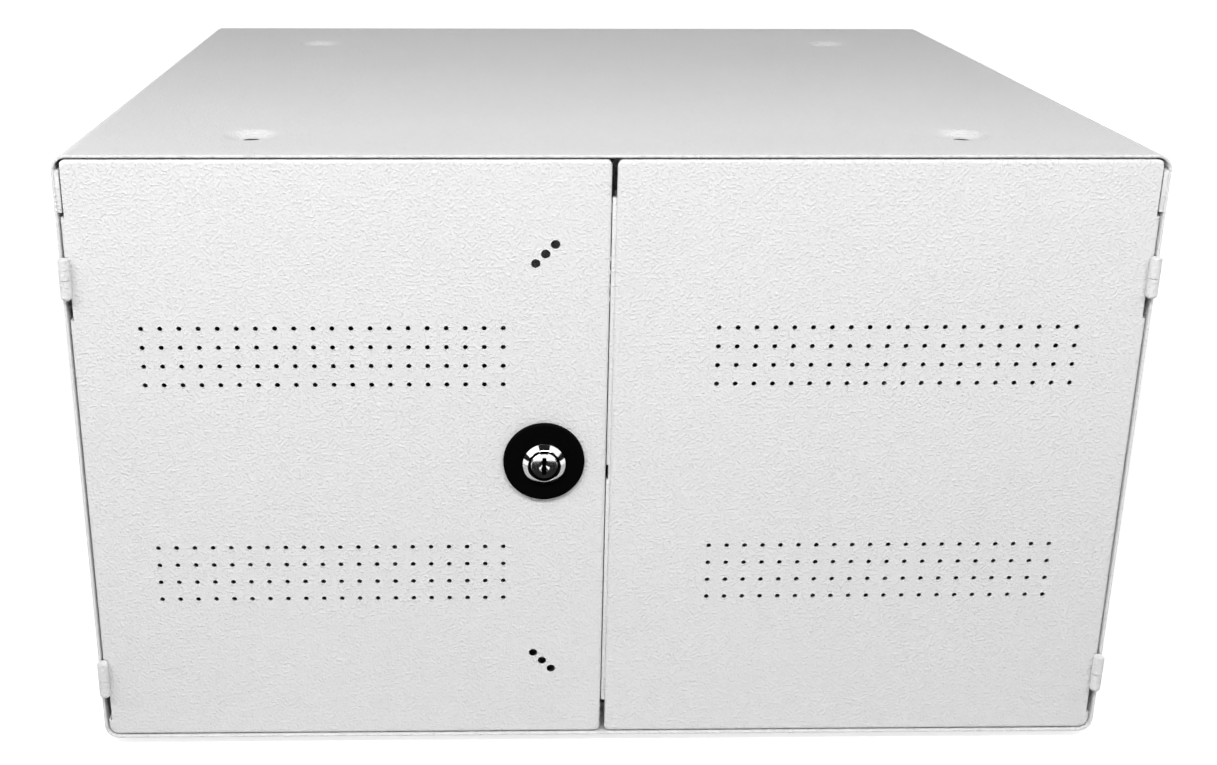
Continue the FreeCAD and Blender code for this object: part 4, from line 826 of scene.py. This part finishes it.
floor_reach = 6.0
floor_patch = 0.05
near_glow_share = 0.7
glow_start = 0.5
glow_end = 1.3
floor_paint, floor_shader, floor_place = new_finish("floor_paint")
seen = camera_sees(floor_paint.node_tree)
away = floor_place.add("ShaderNodeVectorMath", {"operation": "LENGTH"}, {0: floor_place}, "Value")
glow = away.add("ShaderNodeMapRange", {"interpolation_type": "SMOOTHSTEP"}, {
    "Value": away, "From Min": glow_start, "From Max": glow_end, "To Min": near_glow_share, "To Max": 1.0})
floor_tone = blend_colours(noise(floor_place, floor_patch), grey(0.64), grey(0.68))
feed(floor_shader, Base_Color=floor_tone, Roughness=0.9, Specular_IOR_Level=0.0,
     Emission_Color=blend_colours(seen * glow, grey(0), grey(1)), Emission_Strength=1.0)
stage_piece("floor", sheet((-floor_reach, -floor_reach), (floor_reach, floor_reach), 0), floor_paint)

booth_radius = 2.8
booth_mouth = -0.2
weave_size = 0.02
card_low = (-0.5, -0.8)
card_high = (0.5, -0.26)
card_height = 0.002
booth_cloth, booth_shader, booth_place = new_finish("booth_cloth")
weave = noise(booth_place, weave_size)
feed(booth_shader, Base_Color=blend_colours(weave, grey(0.015), grey(0.03)), Roughness=1.0,
     Specular_IOR_Level=0.0)
booth = bmesh.new()
bmesh.ops.create_uvsphere(booth, u_segments=48, v_segments=24, radius=booth_radius)
cut_away = []
for face in booth.faces:
    middle = face.calc_center_median()
    if middle.y > booth_mouth or middle.z < 0:
        cut_away.append(face)
bmesh.ops.delete(booth, geom=cut_away, context="FACES")
front_booth = stage_piece("front_booth", booth, booth_cloth)
front_booth.visible_camera = False
floor_card = stage_piece("floor_card", sheet(card_low, card_high, card_height), booth_cloth)
floor_card.visible_camera = False
floor_card.visible_diffuse = False
floor_card.visible_shadow = False


def soft_lamp(name, place, aim, size, power):
    """A flat lamp that faces its aim; its size is a width and a depth, and its power is in watts."""
    lamp = bpy.data.lights.new(name, "AREA")
    lamp.shape = "RECTANGLE"
    lamp.size = size[0]
    lamp.size_y = size[1]
    lamp.energy = power
    holder = bpy.data.objects.new(name, lamp)
    holder.location = place
    holder.rotation_euler = (Vector(aim) - Vector(place)).to_track_quat("-Z", "Y").to_euler()
    bpy.context.scene.collection.objects.link(holder)


front_aim = (0, -0.1, 0.25)
key_place = (-0.1, -1.2, 1.25)
key_size = (1.7, 0.3)
key_power = 21.0
soft_lamp("key_lamp", key_place, front_aim, key_size, key_power)

side_lamp_reach = 0.95
side_lamp_front = -0.7
side_lamp_height = 0.98
side_lamp_size = (0.7, 1.1)
for side, way, power in (("left", -1, 4.2), ("right", 1, 3.3)):
    side_place = (way * side_lamp_reach, side_lamp_front, side_lamp_height)
    soft_lamp(f"{side}_lamp", side_place, front_aim, side_lamp_size, power)

rear_lamp_reach = 1.6
rear_lamp_back = 1.7
rear_lamp_height = 0.17
rear_lamp_size = (1.2, 0.3)
rear_lamp_power = 22.0
rear_aim = (0, 0.25, rear_lamp_height)
for side, way in (("left", -1), ("right", 1)):
    rear_place = (way * rear_lamp_reach, rear_lamp_back, rear_lamp_height)
    soft_lamp(f"rear_{side}_lamp", rear_place, rear_aim, rear_lamp_size, rear_lamp_power)

frame_width = 1217
focal_pixels = 1562.3
image_middle = (608.5, 382.5)
lens_axis = (521.55, 368.56)
look_down = math.radians(19.479)
look_aside = math.radians(-1.189)
lean = math.radians(0.23)
camera_data = bpy.data.cameras.new("photo_camera")
camera_data.sensor_width = 36.0
camera_data.lens = focal_pixels * camera_data.sensor_width / frame_width
camera_data.shift_x = (image_middle[0] - lens_axis[0]) / frame_width
camera_data.shift_y = (lens_axis[1] - image_middle[1]) / frame_width
camera_place = (-0.06351, -1.02948, 0.50796)
camera = bpy.data.objects.new("photo_camera", camera_data)
camera.matrix_world = (Matrix.Translation(camera_place) @ Matrix.Rotation(look_aside, 4, "Z")
                       @ Matrix.Rotation(math.pi / 2 - look_down, 4, "X") @ Matrix.Rotation(lean, 4, "Z"))
bpy.context.scene.collection.objects.link(camera)
bpy.context.scene.camera = camera
bpy.context.scene.view_settings.view_transform = "Standard"
